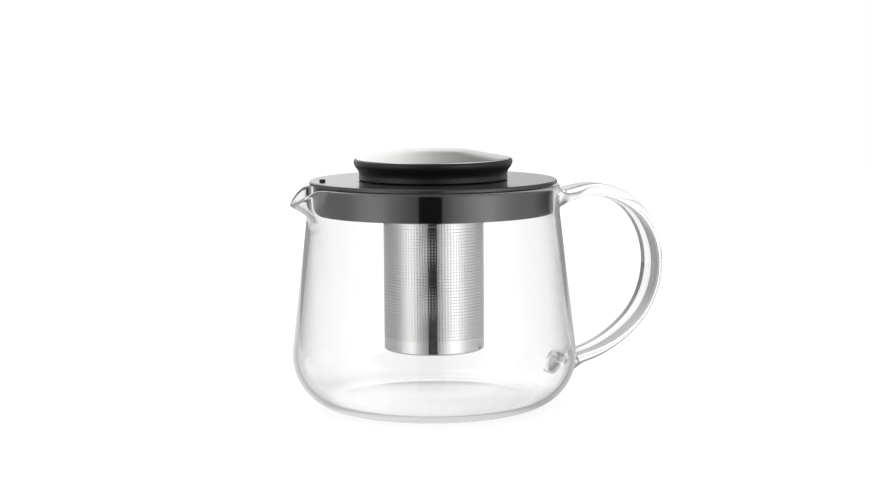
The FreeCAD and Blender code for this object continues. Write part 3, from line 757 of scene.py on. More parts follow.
@dataclass
class Handle:
    """The glass strap handle, swelling at both ends where it is fused to the jug."""

    jug: Jug
    reach: float = 119.7 * MM
    middle: float = 64 * MM
    back_round: float = 42 * MM
    top_blend: float = math.radians(32)
    low_blend: float = math.radians(48)
    rise: float = math.radians(11)
    fall: float = math.radians(16.5)
    start: Vector = field(default_factory=lambda: Vector((59.2, 98.0)) * MM)
    end: Vector = field(default_factory=lambda: Vector((59.2, 12.3)) * MM)
    width: float = 16 * MM
    thick: float = 6.3 * MM
    pad_width: float = 20 * MM
    pad_thick: float = 10 * MM
    pad_length: float = 11 * MM
    pad_fade: float = 1.5
    spacing: float = 1.6 * MM
    sides: int = 56
    seam: float = 0.06 * MM
    seam_clear: float = 0.3 * MM
    seam_rows: int = 4
    # How frosted the seam is, from its middle to the last ring before its edge.
    seam_frost: tuple = (0.4, 0.6, 1.0, 0.3)
    crisp: float = math.radians(60)

    def centre_line(self) -> list[Vector]:
        """Points of the centre line in the plane of radius and height, from neck to heel.

        Returns:
            Evenly spaced points.
        """
        back = Vector((self.reach - self.back_round, self.middle))

        def toward(turn: float) -> Vector:
            """The direction at a turn from level."""
            return Vector((math.cos(turn), math.sin(turn)))

        def into_run(turn: float, run: Vector, run_turn: float) -> tuple[Vector, float]:
            """The bend that leads from the back into a straight run.

            Args:
                turn: Where it takes over from the back.
                run: A point of the run.
                run_turn: The direction square to the run.

            Returns:
                The bend's centre and radius.
            """
            share = toward(run_turn).dot(toward(turn))
            radius = ((run - back).dot(toward(run_turn)) - self.back_round * share) / (1 - share)
            return back + toward(turn) * (self.back_round - radius), radius

        top_finish, low_finish = math.pi / 2 + self.rise, self.fall - math.pi / 2
        top_centre, top_radius = into_run(self.top_blend, self.start, top_finish)
        low_centre, low_radius = into_run(-self.low_blend, self.end, low_finish)
        bends = ((top_centre, top_radius, top_finish, self.top_blend),
                 (back, self.back_round, self.top_blend, -self.low_blend),
                 (low_centre, low_radius, -self.low_blend, low_finish))
        corners = [self.start, top_centre + toward(top_finish) * top_radius]
        points = self.straight(*corners)
        for centre, radius, begin, finish in bends:
            steps = max(2, round(abs(finish - begin) * radius / self.spacing))
            points += [centre + toward(begin + (finish - begin) * step / steps) * radius
                       for step in range(1, steps + 1)]
        return points + self.straight(points[-1], self.end)[1:]

    def straight(self, start: Vector, end: Vector) -> list[Vector]:
        """Evenly spaced points of a straight run, both ends included."""
        steps = max(2, round((end - start).length / self.spacing))
        return [start.lerp(end, step / steps) for step in range(steps + 1)]

    def ring(self, point: Vector, along: Vector, swell: float) -> list[Vector]:
        """One section of the strap.

        Args:
            point: Where the centre line passes.
            along: The centre line's direction there.
            swell: From 0 on the plain strap to 1 at a fused end.

        Returns:
            The section's points.
        """
        half_width = (self.width + (self.pad_width - self.width) * swell) / 2
        half_thick = (self.thick + (self.pad_thick - self.thick) * swell) / 2
        across = Vector((-along.y, along.x))
        points = []
        for step in range(self.sides):
            turn = FULL_TURN * (step + 0.5) / self.sides
            wide = math.copysign(half_width - half_thick, math.cos(turn)) + half_thick * math.cos(turn)
            deep = half_thick * math.sin(turn)
            points.append(Vector((point.x + across.x * deep, wide, point.y + across.y * deep)))
        return points

    def outside_by(self, point: Vector) -> float:
        """How far a point lies outside the seam on the jug's outer face."""
        return math.hypot(point.x, point.y) - self.jug.outer_radius(point.z) - self.seam

    def on_jug(self, point: Vector) -> Vector:
        """The point moved level onto the seam on the jug's outer face."""
        level = Vector((point.x, point.y, 0)).normalized()
        return level * (self.jug.outer_radius(point.z) + self.seam) + Vector((0, 0, point.z))

    def rings(self) -> list[list[Vector]]:
        """The strap's sections from seam to seam.

        Returns:
            The sections.
        """
        line = self.centre_line()
        lengths = [0.0]
        for here, after in zip(line, line[1:]):
            lengths.append(lengths[-1] + (after - here).length)
        first = next(i for i, p in enumerate(line) if self.outside_by(Vector((p.x, 0, p.y))) > 0)
        last = next(i for i in range(len(line) - 1, 0, -1)
                    if self.outside_by(Vector((line[i].x, 0, line[i].y))) > 0)
        made = []
        for index, point in enumerate(line):
            along = (line[min(index + 1, len(line) - 1)] - line[max(index - 1, 0)]).normalized()
            gap = min(lengths[index] - lengths[first], lengths[last] - lengths[index])
            swell = (1 - smooth_step(gap / self.pad_length)) ** self.pad_fade
            made.append(self.ring(point, along, swell))
        return self.trimmed(self.trimmed(made)[::-1])[::-1]

    def trimmed(self, rings: list[list[Vector]]) -> list[list[Vector]]:
        """Cut the first end of a row of sections off at the seam on the jug.

        Args:
            rings: The sections, the first of which lie inside the jug's face.

        Returns:
            The sections from the seam on.
        """
        clear = next(i for i, ring in enumerate(rings)
                     if min(map(self.outside_by, ring)) > self.seam_clear)
        edge = []
        for side in range(self.sides):
            inner = max(i for i in range(clear) if self.outside_by(rings[i][side]) <= 0)
            low, high = rings[inner][side], rings[inner + 1][side]
            depth, proud = self.outside_by(low), self.outside_by(high)
            edge.append(low.lerp(high, depth / (depth - proud)))
        between = [[low.lerp(high, row / self.seam_rows) for low, high in zip(edge, rings[clear])]
                   for row in range(1, self.seam_rows)]
        return [edge] + between + rings[clear:]

    def build(self, glass: bpy.types.Material) -> None:
        """Make the handle's glass.

        Args:
            glass: Its finish.
        """
        shape = bmesh.new()
        rings = self.rings()
        ends = []
        for edge in (rings[0], rings[-1]):
            middle = self.on_jug(sum(edge, Vector()) / len(edge))
            inner = [[self.on_jug(middle.lerp(point, row / self.seam_rows)) for point in edge]
                     for row in range(1, self.seam_rows)]
            ends.append([[middle]] + inner)
        rows = ends[0] + rings + ends[1][::-1]
        made = [[shape.verts.new(point) for point in row] for row in rows]
        for low, high in zip(made, made[1:]):
            join_rings(shape, low, high)
        piece = new_object("handle_glass", finished_mesh(shape, "handle_glass", self.crisp))
        frosted = [share for share, row in zip(self.seam_frost, ends[0]) for _ in row]
        mark = piece.data.attributes.new(SEAM_MARK, "FLOAT", "POINT")
        clear = [0.0] * (len(piece.data.vertices) - 2 * len(frosted))
        mark.data.foreach_set("value", frosted + clear + frosted[::-1])
        piece.data.materials.append(glass)
        set_piece(piece, Body.JUG, "glass_handle")


@dataclass
class Holder:
    """The plate that closes the neck, with its silicone collar, strainer seat and vent."""

    plate_radius: float = from_cad(reach, "lid_plate")
    plate_top: float = from_cad(top, "lid_plate")
    plate_under: float = from_cad(top, "neck_collar")
    skirt_under: float = from_cad(foot, "lid_plate")
    collar_radius: float = from_cad(reach, "neck_collar")
    collar_under: float = from_cad(foot, "neck_collar")
    seat_radius: float = from_cad(reach, "strainer_seat")
    seat_top: float = from_cad(top, "strainer_seat")
    seat_under: float = from_cad(foot, "strainer_seat")
    plate_round: float = 0.75 * MM
    collar_wall: float = 1.6 * MM
    collar_round: float = 0.7 * MM
    skirt_wall: float = 1.2 * MM
    well_wall: float = 1.4 * MM
    seat_mouth: float = 25.2 * MM
    edge: float = 0.3 * MM
    vent_bore: float = 0.4 * MM
    vent_stem: float = 0.9 * MM
    rim_segments: int = 288
    vent_segments: int = 40

    def plate(self) -> Outline:
        """The plate, its skirt and the wall of its well.

        Returns:
            The outline.
        """
        well = self.seat_radius - self.well_wall
        skirt = self.collar_radius - self.collar_wall
        outline = Outline(well, self.seat_top).line(well, self.plate_top, self.edge)
        outline.line(self.plate_radius, self.plate_top, self.plate_round)
        outline.line(self.plate_radius, self.plate_under, self.plate_round)
        outline.line(skirt, self.plate_under).line(skirt, self.skirt_under, self.edge)
        outline.line(skirt - self.skirt_wall, self.skirt_under, self.edge)
        outline.line(skirt - self.skirt_wall, self.plate_under, self.edge)
        outline.line(self.seat_radius, self.plate_under, self.edge)
        return outline.line(self.seat_radius, self.seat_top)

    def seat(self) -> Outline:
        """The ring that the strainer's flange hangs on.

        Returns:
            The outline.
        """
        soft = self.edge * 2
        outline = Outline(self.seat_radius, self.seat_under).line(self.seat_radius, self.seat_top)
        return outline.line(self.seat_mouth, self.seat_top, soft).line(self.seat_mouth, self.seat_under, soft)

    def collar(self) -> Outline:
        """The collar's wall with its lower edge turned in under the skirt.

        Returns:
            The outline.
        """
        skirt = self.collar_radius - self.collar_wall
        inner = skirt - self.skirt_wall
        outline = Outline(inner, self.skirt_under).line(inner, self.collar_under, self.edge)
        outline.line(self.collar_radius, self.collar_under, self.collar_round)
        outline.line(self.collar_radius, self.plate_under).line(skirt, self.plate_under)
        return outline.line(skirt, self.skirt_under)

    def vent(self) -> Outline:
        """The vent's stem and rounded head.

        Returns:
            The outline.
        """
        low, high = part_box("vent_bush")
        head = (high.x - low.x) / 2
        outline = Outline(self.vent_bore, low.z).line(self.vent_stem, low.z)
        outline.line(self.vent_stem, self.plate_top).line(head, self.plate_top, self.edge / 3)
        return outline.line(head, high.z, self.edge * 2).line(self.vent_bore, high.z, self.edge / 3)

    def build(self, plastic: bpy.types.Material, silicone: bpy.types.Material) -> None:
        """Make the plate, seat, collar and vent.

        Args:
            plastic: The finish of the plate and the seat.
            silicone: The finish of the collar and the vent.
        """
        turned_piece("closing_plate", self.plate(), plastic, Body.HOLDER, "lid_plate",
                     segments=self.rim_segments)
        turned_piece("seat_ring", self.seat(), plastic, Body.HOLDER, "strainer_seat")
        turned_piece("collar_ring", self.collar(), silicone, Body.HOLDER, "neck_collar",
                     segments=self.rim_segments)
        low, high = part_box("vent_bush")
        place = ((low + high) / 2).to_2d()
        turned_piece("vent_pip", self.vent(), silicone, Body.HOLDER, "vent_bush", place,
                     self.vent_segments)


@dataclass
class Strainer:
    """The lift-out strainer: a perforated sleeve on a pressed floor, hung by a flange."""

    radius: float = from_cad(reach, "strainer_sleeve")
    low: float = from_cad(foot, "strainer_sleeve")
    high: float = from_cad(top, "strainer_sleeve")
    sheet: float = 0.5 * MM
    columns: int = 104
    hole_share: float = 0.46
    plain_low: float = 4.4 * MM
    plain_high: float = 6 * MM
    corner: float = 1.0 * MM
    weld: float = 0.01 * MM
    flange_round_share: float = 0.45

    def cell(self, name: str, width: float, height: float, hole: float,
             closed: ClosedEdge) -> bpy.types.Object:
        """One flat cell of the sheet, which the sleeve repeats.

        Args:
            name: The cell's name.
            width: Its width along X.
            height: Its height along Z.
            hole: The width of the round hole through it, or 0.
            closed: Which of its edges is closed.

        Returns:
            The cell as an object of its own, with its outer face at y = 0.
        """
        shape = bmesh.new()
        corners = ((-1, -1), (1, -1), (1, 1), (-1, 1))

        def ring(places: list, depth: float) -> list:
            """Vertices at a depth in the sheet."""
            return [shape.verts.new((x, depth, z)) for x, z in places]

        square = [(x * width / 2, z * height / 2) for x, z in corners]
        faces = [ring(square, depth) for depth in (0.0, -self.sheet)]
        if hole:
            sides = 2 * len(corners)
            turns = [FULL_TURN * ((step + 0.5) / sides - 0.5) for step in range(sides)]
            places = [(math.cos(turn) * hole / 2, math.sin(turn) * hole / 2) for turn in turns]
            walls = [ring(places, depth) for depth in (0.0, -self.sheet)]
            join_rings(shape, walls[1], walls[0])
            for face, wall, order in zip(faces, walls, (1, -1)):
                for side in range(len(corners)):
                    after = (side + 1) % len(corners)
                    shape.faces.new([face[side], wall[2 * side + 1], wall[2 * side]][::order])
                    joint = [face[side], face[after], wall[(2 * side + 2) % sides], wall[2 * side + 1]]
                    shape.faces.new(joint[::order])
        else:
            shape.faces.new(faces[0][::-1])
            shape.faces.new(faces[1])
        if closed is not ClosedEdge.NEITHER:
            left, right = (0, 1) if closed is ClosedEdge.LOW else (3, 2)
            shape.faces.new([faces[0][left], faces[0][right], faces[1][right], faces[1][left]])
        mesh = bpy.data.meshes.new(name)
        shape.to_mesh(mesh)
        shape.free()
        return new_object(name, mesh)

    def repeat_tree(self) -> bpy.types.NodeTree:
        """The node tree that repeats cells on a flat sheet and bends the sheet into a sleeve.

        Returns:
            The tree, with inputs for its cells, counts, sizes and finish.
        """
        tree = bpy.data.node_groups.new("perforated_sleeve", "GeometryNodeTree")
        kinds = {"Hole Cell": "Object", "Low Cell": "Object", "High Cell": "Object", "Columns": "Int",
                 "Rows": "Int", "Pitch": "Float", "Row Pitch": "Float", "Middle Height": "Float",
                 "Low Height": "Float", "High Height": "Float", "Radius": "Float", "Finish": "Material"}
        for name, kind in kinds.items():
            tree.interface.new_socket(name, in_out="INPUT", socket_type="NodeSocket" + kind)
        tree.interface.new_socket("Geometry", in_out="OUTPUT", socket_type="NodeSocketGeometry")
        sizes = add_node(tree, "NodeGroupInput").outputs

        def span(pitch: bpy.types.NodeSocket, count: bpy.types.NodeSocket) -> bpy.types.NodeSocket:
            """The length from the middle of a row's first cell to the middle of its last."""
            fewer = add_node(tree, "ShaderNodeMath", {"operation": "SUBTRACT"}, {0: count, 1: 1.0})
            return add_node(tree, "ShaderNodeMath", {"operation": "MULTIPLY"},
                            {0: pitch, 1: fewer.outputs[0]}).outputs[0]

        joined = add_node(tree, "GeometryNodeJoinGeometry")
        for cell, rows, height in (("Hole Cell", sizes["Rows"], "Middle Height"),
                                   ("Low Cell", 1, "Low Height"), ("High Cell", 1, "High Height")):
            tall = span(sizes["Row Pitch"], rows) if rows != 1 else 0.0
            grid = add_node(tree, "GeometryNodeMeshGrid", inputs={
                "Size X": span(sizes["Pitch"], sizes["Columns"]), "Size Y": tall,
                "Vertices X": sizes["Columns"], "Vertices Y": rows if rows != 1 else 2})
            stood = add_node(tree, "ShaderNodeCombineXYZ", inputs={"Z": sizes[height]})
            raised = add_node(tree, "GeometryNodeTransform", inputs={
                "Geometry": grid.outputs["Mesh"], "Translation": stood.outputs[0],
                "Rotation": (math.pi / 2, 0.0, 0.0)})
            shown = add_node(tree, "GeometryNodeObjectInfo", inputs={"Object": sizes[cell]})
            placed = add_node(tree, "GeometryNodeInstanceOnPoints", inputs={
                "Points": raised.outputs["Geometry"], "Instance": shown.outputs["Geometry"]})
            tree.links.new(placed.outputs["Instances"], joined.inputs["Geometry"])
        solid = add_node(tree, "GeometryNodeRealizeInstances", inputs={"Geometry": joined.outputs[0]})
        apart = add_node(tree, "ShaderNodeSeparateXYZ", inputs={
            "Vector": add_node(tree, "GeometryNodeInputPosition").outputs[0]})
        turn = add_node(tree, "ShaderNodeMath", {"operation": "DIVIDE"},
                        {0: apart.outputs["X"], 1: sizes["Radius"]})
        out = add_node(tree, "ShaderNodeMath", {"operation": "ADD"},
                       {0: apart.outputs["Y"], 1: sizes["Radius"]})
        legs = []
        for wave in ("COSINE", "SINE"):
            share = add_node(tree, "ShaderNodeMath", {"operation": wave}, {0: turn.outputs[0]})
            legs.append(add_node(tree, "ShaderNodeMath", {"operation": "MULTIPLY"},
                                 {0: out.outputs[0], 1: share.outputs[0]}).outputs[0])
        bent = add_node(tree, "ShaderNodeCombineXYZ", inputs={
            "X": legs[0], "Y": legs[1], "Z": apart.outputs["Z"]})
        wrapped = add_node(tree, "GeometryNodeSetPosition", inputs={
            "Geometry": solid.outputs[0], "Position": bent.outputs[0]})
        welded = add_node(tree, "GeometryNodeMergeByDistance", inputs={
            "Geometry": wrapped.outputs[0], "Distance": self.weld})
        dressed = add_node(tree, "GeometryNodeSetMaterial", inputs={
            "Geometry": welded.outputs[0], "Material": sizes["Finish"]})
        add_node(tree, "NodeGroupOutput", inputs={"Geometry": dressed.outputs[0]})
        return tree

    def sleeve(self, steel: bpy.types.Material) -> None:
        """Make the perforated sleeve by repeating cells.

        Args:
            steel: Its finish.
        """
        pitch = FULL_TURN * self.radius / self.columns
        rows = round((self.high - self.low - self.plain_low - self.plain_high) / pitch)
        start = self.low + self.plain_low
        finish = start + rows * pitch
        cells = {
            "Hole Cell": self.cell("hole_cell", pitch, pitch, pitch * self.hole_share, ClosedEdge.NEITHER),
            "Low Cell": self.cell("low_cell", pitch, start - self.low, 0.0, ClosedEdge.LOW),
            "High Cell": self.cell("high_cell", pitch, self.high - finish, 0.0, ClosedEdge.HIGH)}
        values = cells | {
            "Columns": self.columns, "Rows": rows, "Pitch": pitch, "Row Pitch": pitch,
            "Middle Height": (start + finish) / 2, "Low Height": (self.low + start) / 2,
            "High Height": (finish + self.high) / 2, "Radius": self.radius, "Finish": steel}
        piece = new_object("perforated_sleeve", bpy.data.meshes.new("perforated_sleeve"))
        repeat = piece.modifiers.new("perforations", "NODES")
        repeat.node_group = self.repeat_tree()
        for socket in repeat.node_group.interface.items_tree:
            if socket.in_out == "INPUT":
                repeat[socket.identifier] = values[socket.name]
        freeze(piece)
        for cell in cells.values():
            bpy.data.objects.remove(cell)
        set_piece(piece, Body.STRAINER, "strainer_sleeve")

    def floor(self) -> Outline:
        """The pressed floor with its turned-up edge.

        Returns:
            The outline.
        """
        base = foot("strainer_cup")
        inner = self.radius - self.sheet
        outline = Outline(0, base).line(self.radius, base, self.corner).line(self.radius, self.low)
        outline.line(inner, self.low).line(inner, base + self.sheet, self.corner - self.sheet)
        return outline.line(0, base + self.sheet)

    def flange(self) -> Outline:
        """The flat ring with a rolled edge at the top of the sleeve.

        Returns:
            The outline.
        """
        wide, low, high = reach("strainer_flange"), foot("strainer_flange"), top("strainer_flange")
        soft = (high - low) * self.flange_round_share
        outline = Outline(self.radius - self.sheet, low).line(wide, low, soft)
        return outline.line(wide, high, soft).line(self.radius - self.sheet, high, soft / 2)

    def build(self, steel: bpy.types.Material) -> None:
        """Make the sleeve, floor and flange.

        Args:
            steel: Their finish.
        """
        self.sleeve(steel)
        turned_piece("strainer_floor", self.floor(), steel, Body.STRAINER, "strainer_cup",
                     segments=self.columns)
        turned_piece("hanging_flange", self.flange(), steel, Body.STRAINER, "strainer_flange")


@dataclass
class Lid:
    """The lift-off lid: a waisted grip ring with a steel cap, a core, a plug and its seal."""

    under: float = from_cad(foot, "grip_ring")
    bead_radius: float = from_cad(reach, "grip_ring")
    grip_top: float = from_cad(top, "grip_ring")
    bore: float = from_cad(reach, "lid_core")
    cap_radius: float = from_cad(reach, "steel_cap")
    cap_top: float = from_cad(top, "steel_cap")
    waist_radius: float = 36.0 * MM
    foot_radius: float = 36.3 * MM
    turn_radius: float = 37.3 * MM
    waist_height: float = 2.0 * MM
    turn_height: float = 5.4 * MM
    bead_height: float = 8.7 * MM
    bead_round: float = 1.1 * MM
    foot_round: float = 0.4 * MM
    cap_edge: float = 0.45 * MM
    cap_thick: float = 0.8 * MM
    wall: float = 1.4 * MM
    seal_depth: float = 0.8 * MM
    seal_round_share: float = 0.48
    segments: int = 256

    def grip(self) -> Outline:
        """The hollow side that swells to a bead at the top.

        Returns:
            The outline.
        """
        waist, turn, bead = (self.under + h for h in (self.waist_height, self.turn_height, self.bead_height))

        def hollow(out: float, rise: float) -> float:
            """How far an arc stands off its chord, where it leaves upright and runs out and up.

            Args:
                out: How far it runs out.
                rise: How far it runs up.

            Returns:
                The bulge.
            """
            chord = math.hypot(out, rise)
            size = chord * chord / (2 * out)
            return size - math.sqrt(size * size - chord * chord / 4)

        outline = Outline(self.bore, self.under).line(self.foot_radius, self.under, self.foot_round)
        outline.line(self.waist_radius, waist)
        outline.arc(self.turn_radius, turn, hollow(self.turn_radius - self.waist_radius, turn - waist))
        outline.arc(self.bead_radius, bead, -hollow(self.bead_radius - self.turn_radius, bead - turn))
        quarter = self.bead_round * (1 - math.sqrt(0.5))
        outline.arc(self.bead_radius - self.bead_round, self.grip_top, -quarter)
        return outline.line(self.bore, self.grip_top)

    def cap(self) -> Outline:
        """The domed cap with its turned-down edge.

        Returns:
            The outline.
        """
        shoulder = self.cap_radius - self.cap_edge
        edge_top = self.grip_top + self.cap_edge
        inner = self.cap_radius - self.cap_thick
        peak = self.cap_top - self.cap_thick

        def half_dome(wide: float, rise: float) -> float:
            """How far the arc from a dome's edge to its peak stands off its chord."""
            size = (wide * wide + rise * rise) / (2 * rise)
            return size * (1 - math.cos(math.asin(wide / size) / 2))

        outline = Outline(0, peak).arc(inner, self.grip_top, half_dome(inner, peak - self.grip_top))
        outline.line(self.cap_radius, self.grip_top)
        outline.arc(shoulder, edge_top, -self.cap_edge * (1 - math.sqrt(0.5)))
        return outline.arc(0, self.cap_top, -half_dome(shoulder, self.cap_top - edge_top))

    def core(self) -> Outline:
        """The cup inside the grip ring.

        Returns:
            The outline.
        """
        inner, level = self.bore - self.wall, self.under + self.wall
        outline = Outline(0, self.under).line(self.bore, self.under).line(self.bore, self.grip_top)
        return outline.line(inner, self.grip_top).line(inner, level, self.foot_round).line(0, level)

    def plug(self) -> Outline:
        """The hollow plug with a groove for its seal.

        Returns:
            The outline.
        """
        wide, low = reach("lid_plug"), foot("lid_plug")
        groove = wide - self.seal_depth
        inner, level = groove - self.wall, low + self.wall
        outline = Outline(0, low).line(wide, low, self.foot_round).line(wide, foot("lid_seal"))
        outline.line(groove, foot("lid_seal")).line(groove, top("lid_seal")).line(wide, top("lid_seal"))
        outline.line(wide, self.under).line(inner, self.under).line(inner, level, self.foot_round)
        return outline.line(0, level)

    def seal(self) -> Outline:
        """The seal's flat ring with a rounded lip.

        Returns:
            The outline.
        """
        wide, low, high = reach("lid_seal"), foot("lid_seal"), top("lid_seal")
        soft = (high - low) * self.seal_round_share
        groove = reach("lid_plug") - self.seal_depth
        return Outline(groove, low).line(wide, low, soft).line(wide, high, soft).line(groove, high)

    def build(self, rubber: bpy.types.Material, steel: bpy.types.Material, plastic: bpy.types.Material,
              silicone: bpy.types.Material) -> None:
        """Make the lid's pieces.

        Args:
            rubber: The grip's finish.
            steel: The cap's finish.
            plastic: The finish of the core and the plug.
            silicone: The seal's finish.
        """
        turned_piece("waisted_grip", self.grip(), rubber, Body.LID, "grip_ring",
                     segments=self.segments)
        turned_piece("domed_cap", self.cap(), steel, Body.LID, "steel_cap",
                     segments=self.segments)
        turned_piece("inner_cup", self.core(), plastic, Body.LID, "lid_core")
        turned_piece("well_plug", self.plug(), plastic, Body.LID, "lid_plug")
        turned_piece("plug_seal", self.seal(), silicone, Body.LID, "lid_seal")


@dataclass
class Studio:
    """A white studio: soft panels on both sides of the camera, a pale floor and the camera."""

    camera_turn: float = math.radians(-21)
    camera_distance: float = 874 * MM
    camera_height: float = 182.4 * MM
    camera_pitch: float = math.radians(6.798)
    camera_roll: float = math.radians(0.4)
    camera_aim: float = math.radians(0.0435)
    camera_lens: float = 74.5
    camera_near: float = 10 * MM
    floor_radius: float = 1.6
    floor_segments: int = 96
    floor_gap: float = 0.1 * MM
    floor_glow: float = 0.85
    floor_colour: str = "#b0b0b0"
    floor_gloss: float = 0.06
    floor_rough: float = 0.05
    # Brightness of the surroundings by direction: degrees to the right of the camera, seen from the pot.
    # Level with the pot and below it there is a panel on each side and the dark room behind the camera.
    low_panels: tuple = ((-180, 0.9), (-168, 0.55), (-140, 0.5), (-120, 0.55), (-99, 0.6), (-84, 0.85),
                         (-70, 1.4), (-57, 1.75), (-47, 1.6), (-39, 1.15), (-22, 0.65), (-13.5, 0.5),
                         (-12.5, 0.03), (7.5, 0.03), (8.5, 0.55), (12, 0.7), (33, 1.55), (45, 2.0), (53, 2.1),
                         (63, 1.6), (84, 0.95), (99, 0.75), (120, 0.62), (140, 0.5), (168, 0.5), (180, 0.9))
    # What the collar's height sees of them: black cards stand beside the backdrop there.
    neck_cards: tuple = ((-180, 1.2), (-175, 1.2), (-171, 0.1), (-146, 0.1), (-128, 0.2), (-112, 0.6),
                         (-98, 1.0), (98, 1.0), (112, 0.6), (128, 0.2), (146, 0.1), (171, 0.1), (175, 1.2),
                         (180, 1.2))
    # Just above the horizon there is the lit backdrop besides.
    backdrop: tuple = ((-180, 0.95), (-174, 1.15), (-150, 1.2), (-128, 0.0), (128, 0.0), (150, 1.0),
                       (160, 0.6), (168, 0.15), (175, 0.12), (177, 0.75), (180, 0.95))
    # Higher up it fades from its lit left side to its dark right side.
    high_panels: tuple = ((-180, 0.5), (-172, 1.4), (-150, 1.3), (-125, 0.9), (-95, 0.7), (-60, 1.1),
                          (-20, 0.6), (20, 0.6), (60, 0.8), (95, 0.8), (125, 0.6), (150, 0.3), (164, 0.04),
                          (172, 0.02), (180, 0.5))
    # Below the horizon a white sheet stands on the left, which lights the edge of the glass there.
    left_sheet: tuple = ((-180, 0.0), (-168, 0.9), (-100, 0.9), (-84, 0.0), (180, 0.0))
    # Brightness by degrees away from the straight view, for light that slender glass bends: a black ring
    # around the backdrop.
    bent_ring: tuple = ((0, 1.0), (21, 1.0), (27, 0.15), (72, 0.15), (80, 1.0), (180, 1.0))
    # Low on the left the ring is open, so that a single wall stays clear when seen from above there.
    ring_gap: tuple = ((-180, 0.0), (-172, 0.0), (-160, 1.0), (-40, 1.0), (-20, 0.0), (180, 0.0))
    # By the same degrees, brightness for light that runs inside a wall before it comes out.
    wall_ring: tuple = ((0, 1.0), (5, 0.95), (11, 0.7), (18, 0.46), (28, 0.4), (37, 0.2), (52, 0.2),
                        (70, 0.5), (90, 1.0), (180, 1.0))
    ring_dip: float = math.radians(8)
    ring_soft: float = 0.5
    ceiling: float = 0.5
    below: float = 0.6
    # Elevations, in degrees, between which one band of light gives way to the next.
    cards_begin: tuple = (-6.2, -5.6)
    horizon: tuple = (-3.5, -0.5)
    backdrop_end: tuple = (11, 19)
    ceiling_begin: tuple = (55, 80)
    ground_begin: tuple = (-30, -70)
    sheet_begin: tuple = (0, -2)
    gap_begin: tuple = (-12, -15)
    ring_fade_up: tuple = (8, 40)
    ring_fade_down: tuple = (-24, -50)
    # Where light out of a wall comes from in front of the pot, in half turns from the straight view.
    in_front: tuple = (0.42, 0.55)
    # Light that passed fewer faces of glass than this met one strap or one wall.
    slender_below: float = 2.5

    def brightness(self, tree: bpy.types.NodeTree, value: bpy.types.NodeSocket,
                   stops: list) -> bpy.types.NodeSocket:
        """A brightness that follows a value.

        Args:
            tree: The tree that it joins.
            value: What it follows, from 0 to 1.
            stops: Pairs of place and brightness, in order from place 0 to place 1.

        Returns:
            Its colour.
        """
        node = add_node(tree, "ShaderNodeValToRGB", inputs={"Fac": value})
        elements = node.color_ramp.elements
        for place, _ in stops[1:-1]:
            elements.new(place)
        for element, (_, bright) in zip(elements, stops):
            element.color = (bright, bright, bright, 1.0)
        return node.outputs["Color"]

    def light(self) -> None:
        """Light the pot by its surroundings, and show them white to the eye and through glass."""
        world = bpy.data.worlds.new("white_studio")
        bpy.context.scene.world = world
        world.use_nodes = True
        tree = world.node_tree
        tree.nodes.clear()
        toward = add_node(tree, "ShaderNodeTexCoord").outputs["Generated"]
        turned = add_node(tree, "ShaderNodeMapping", inputs={
            "Vector": toward, "Rotation": (0.0, 0.0, math.pi / 2 - self.camera_turn)})
        around = add_node(tree, "ShaderNodeTexGradient", {"gradient_type": "RADIAL"},
                          {"Vector": turned.outputs["Vector"]})
        apart = add_node(tree, "ShaderNodeSeparateXYZ", inputs={"Vector": toward})
        turn = around.outputs["Fac"]

        def above(band: tuple) -> bpy.types.NodeSocket:
            """A share that rises from 0 to 1 between two elevations in degrees."""
            begin, end = (math.sin(math.radians(elevation)) for elevation in band)
            return add_node(tree, "ShaderNodeMapRange", {"interpolation_type": "SMOOTHSTEP"}, {
                "Value": apart.outputs["Z"], "From Min": begin, "From Max": end}).outputs["Result"]

        def around_pot(stops: tuple) -> bpy.types.NodeSocket:
            """A brightness for each direction around the pot."""
            return self.brightness(tree, turn, [(0.5 + place / 360, bright) for place, bright in stops])

        def from_view(stops: tuple) -> bpy.types.NodeSocket:
            """A brightness for each angle from the straight view, softened far above and below it.

            Args:
                stops: Pairs of degrees from the straight view and brightness.

            Returns:
                The brightness.
            """
            sharp = self.brightness(tree, away, [(place / 180, bright) for place, bright in stops])
            soft = grey(self.ring_soft)
            return layered(sharp, (above(self.ring_fade_up), soft, Blend.BRIGHTER),
                           (above(self.ring_fade_down), soft, Blend.BRIGHTER))

        def layered(light: object, *layers: tuple) -> bpy.types.NodeSocket:
            """Lay lights over a first one.

            Args:
                light: The first light.
                layers: For each further one its share, its light and how it lies on what is below.

            Returns:
                What they make together.
            """
            for share, layer, blend in layers:
                light = add_node(tree, "ShaderNodeMix", {"data_type": "RGBA", "blend_type": blend.value},
                                 {0: share, 6: light, 7: layer}).outputs[2]
            return light

        def grey(bright: float) -> tuple:
            """A plain grey."""
            return bright, bright, bright, 1.0

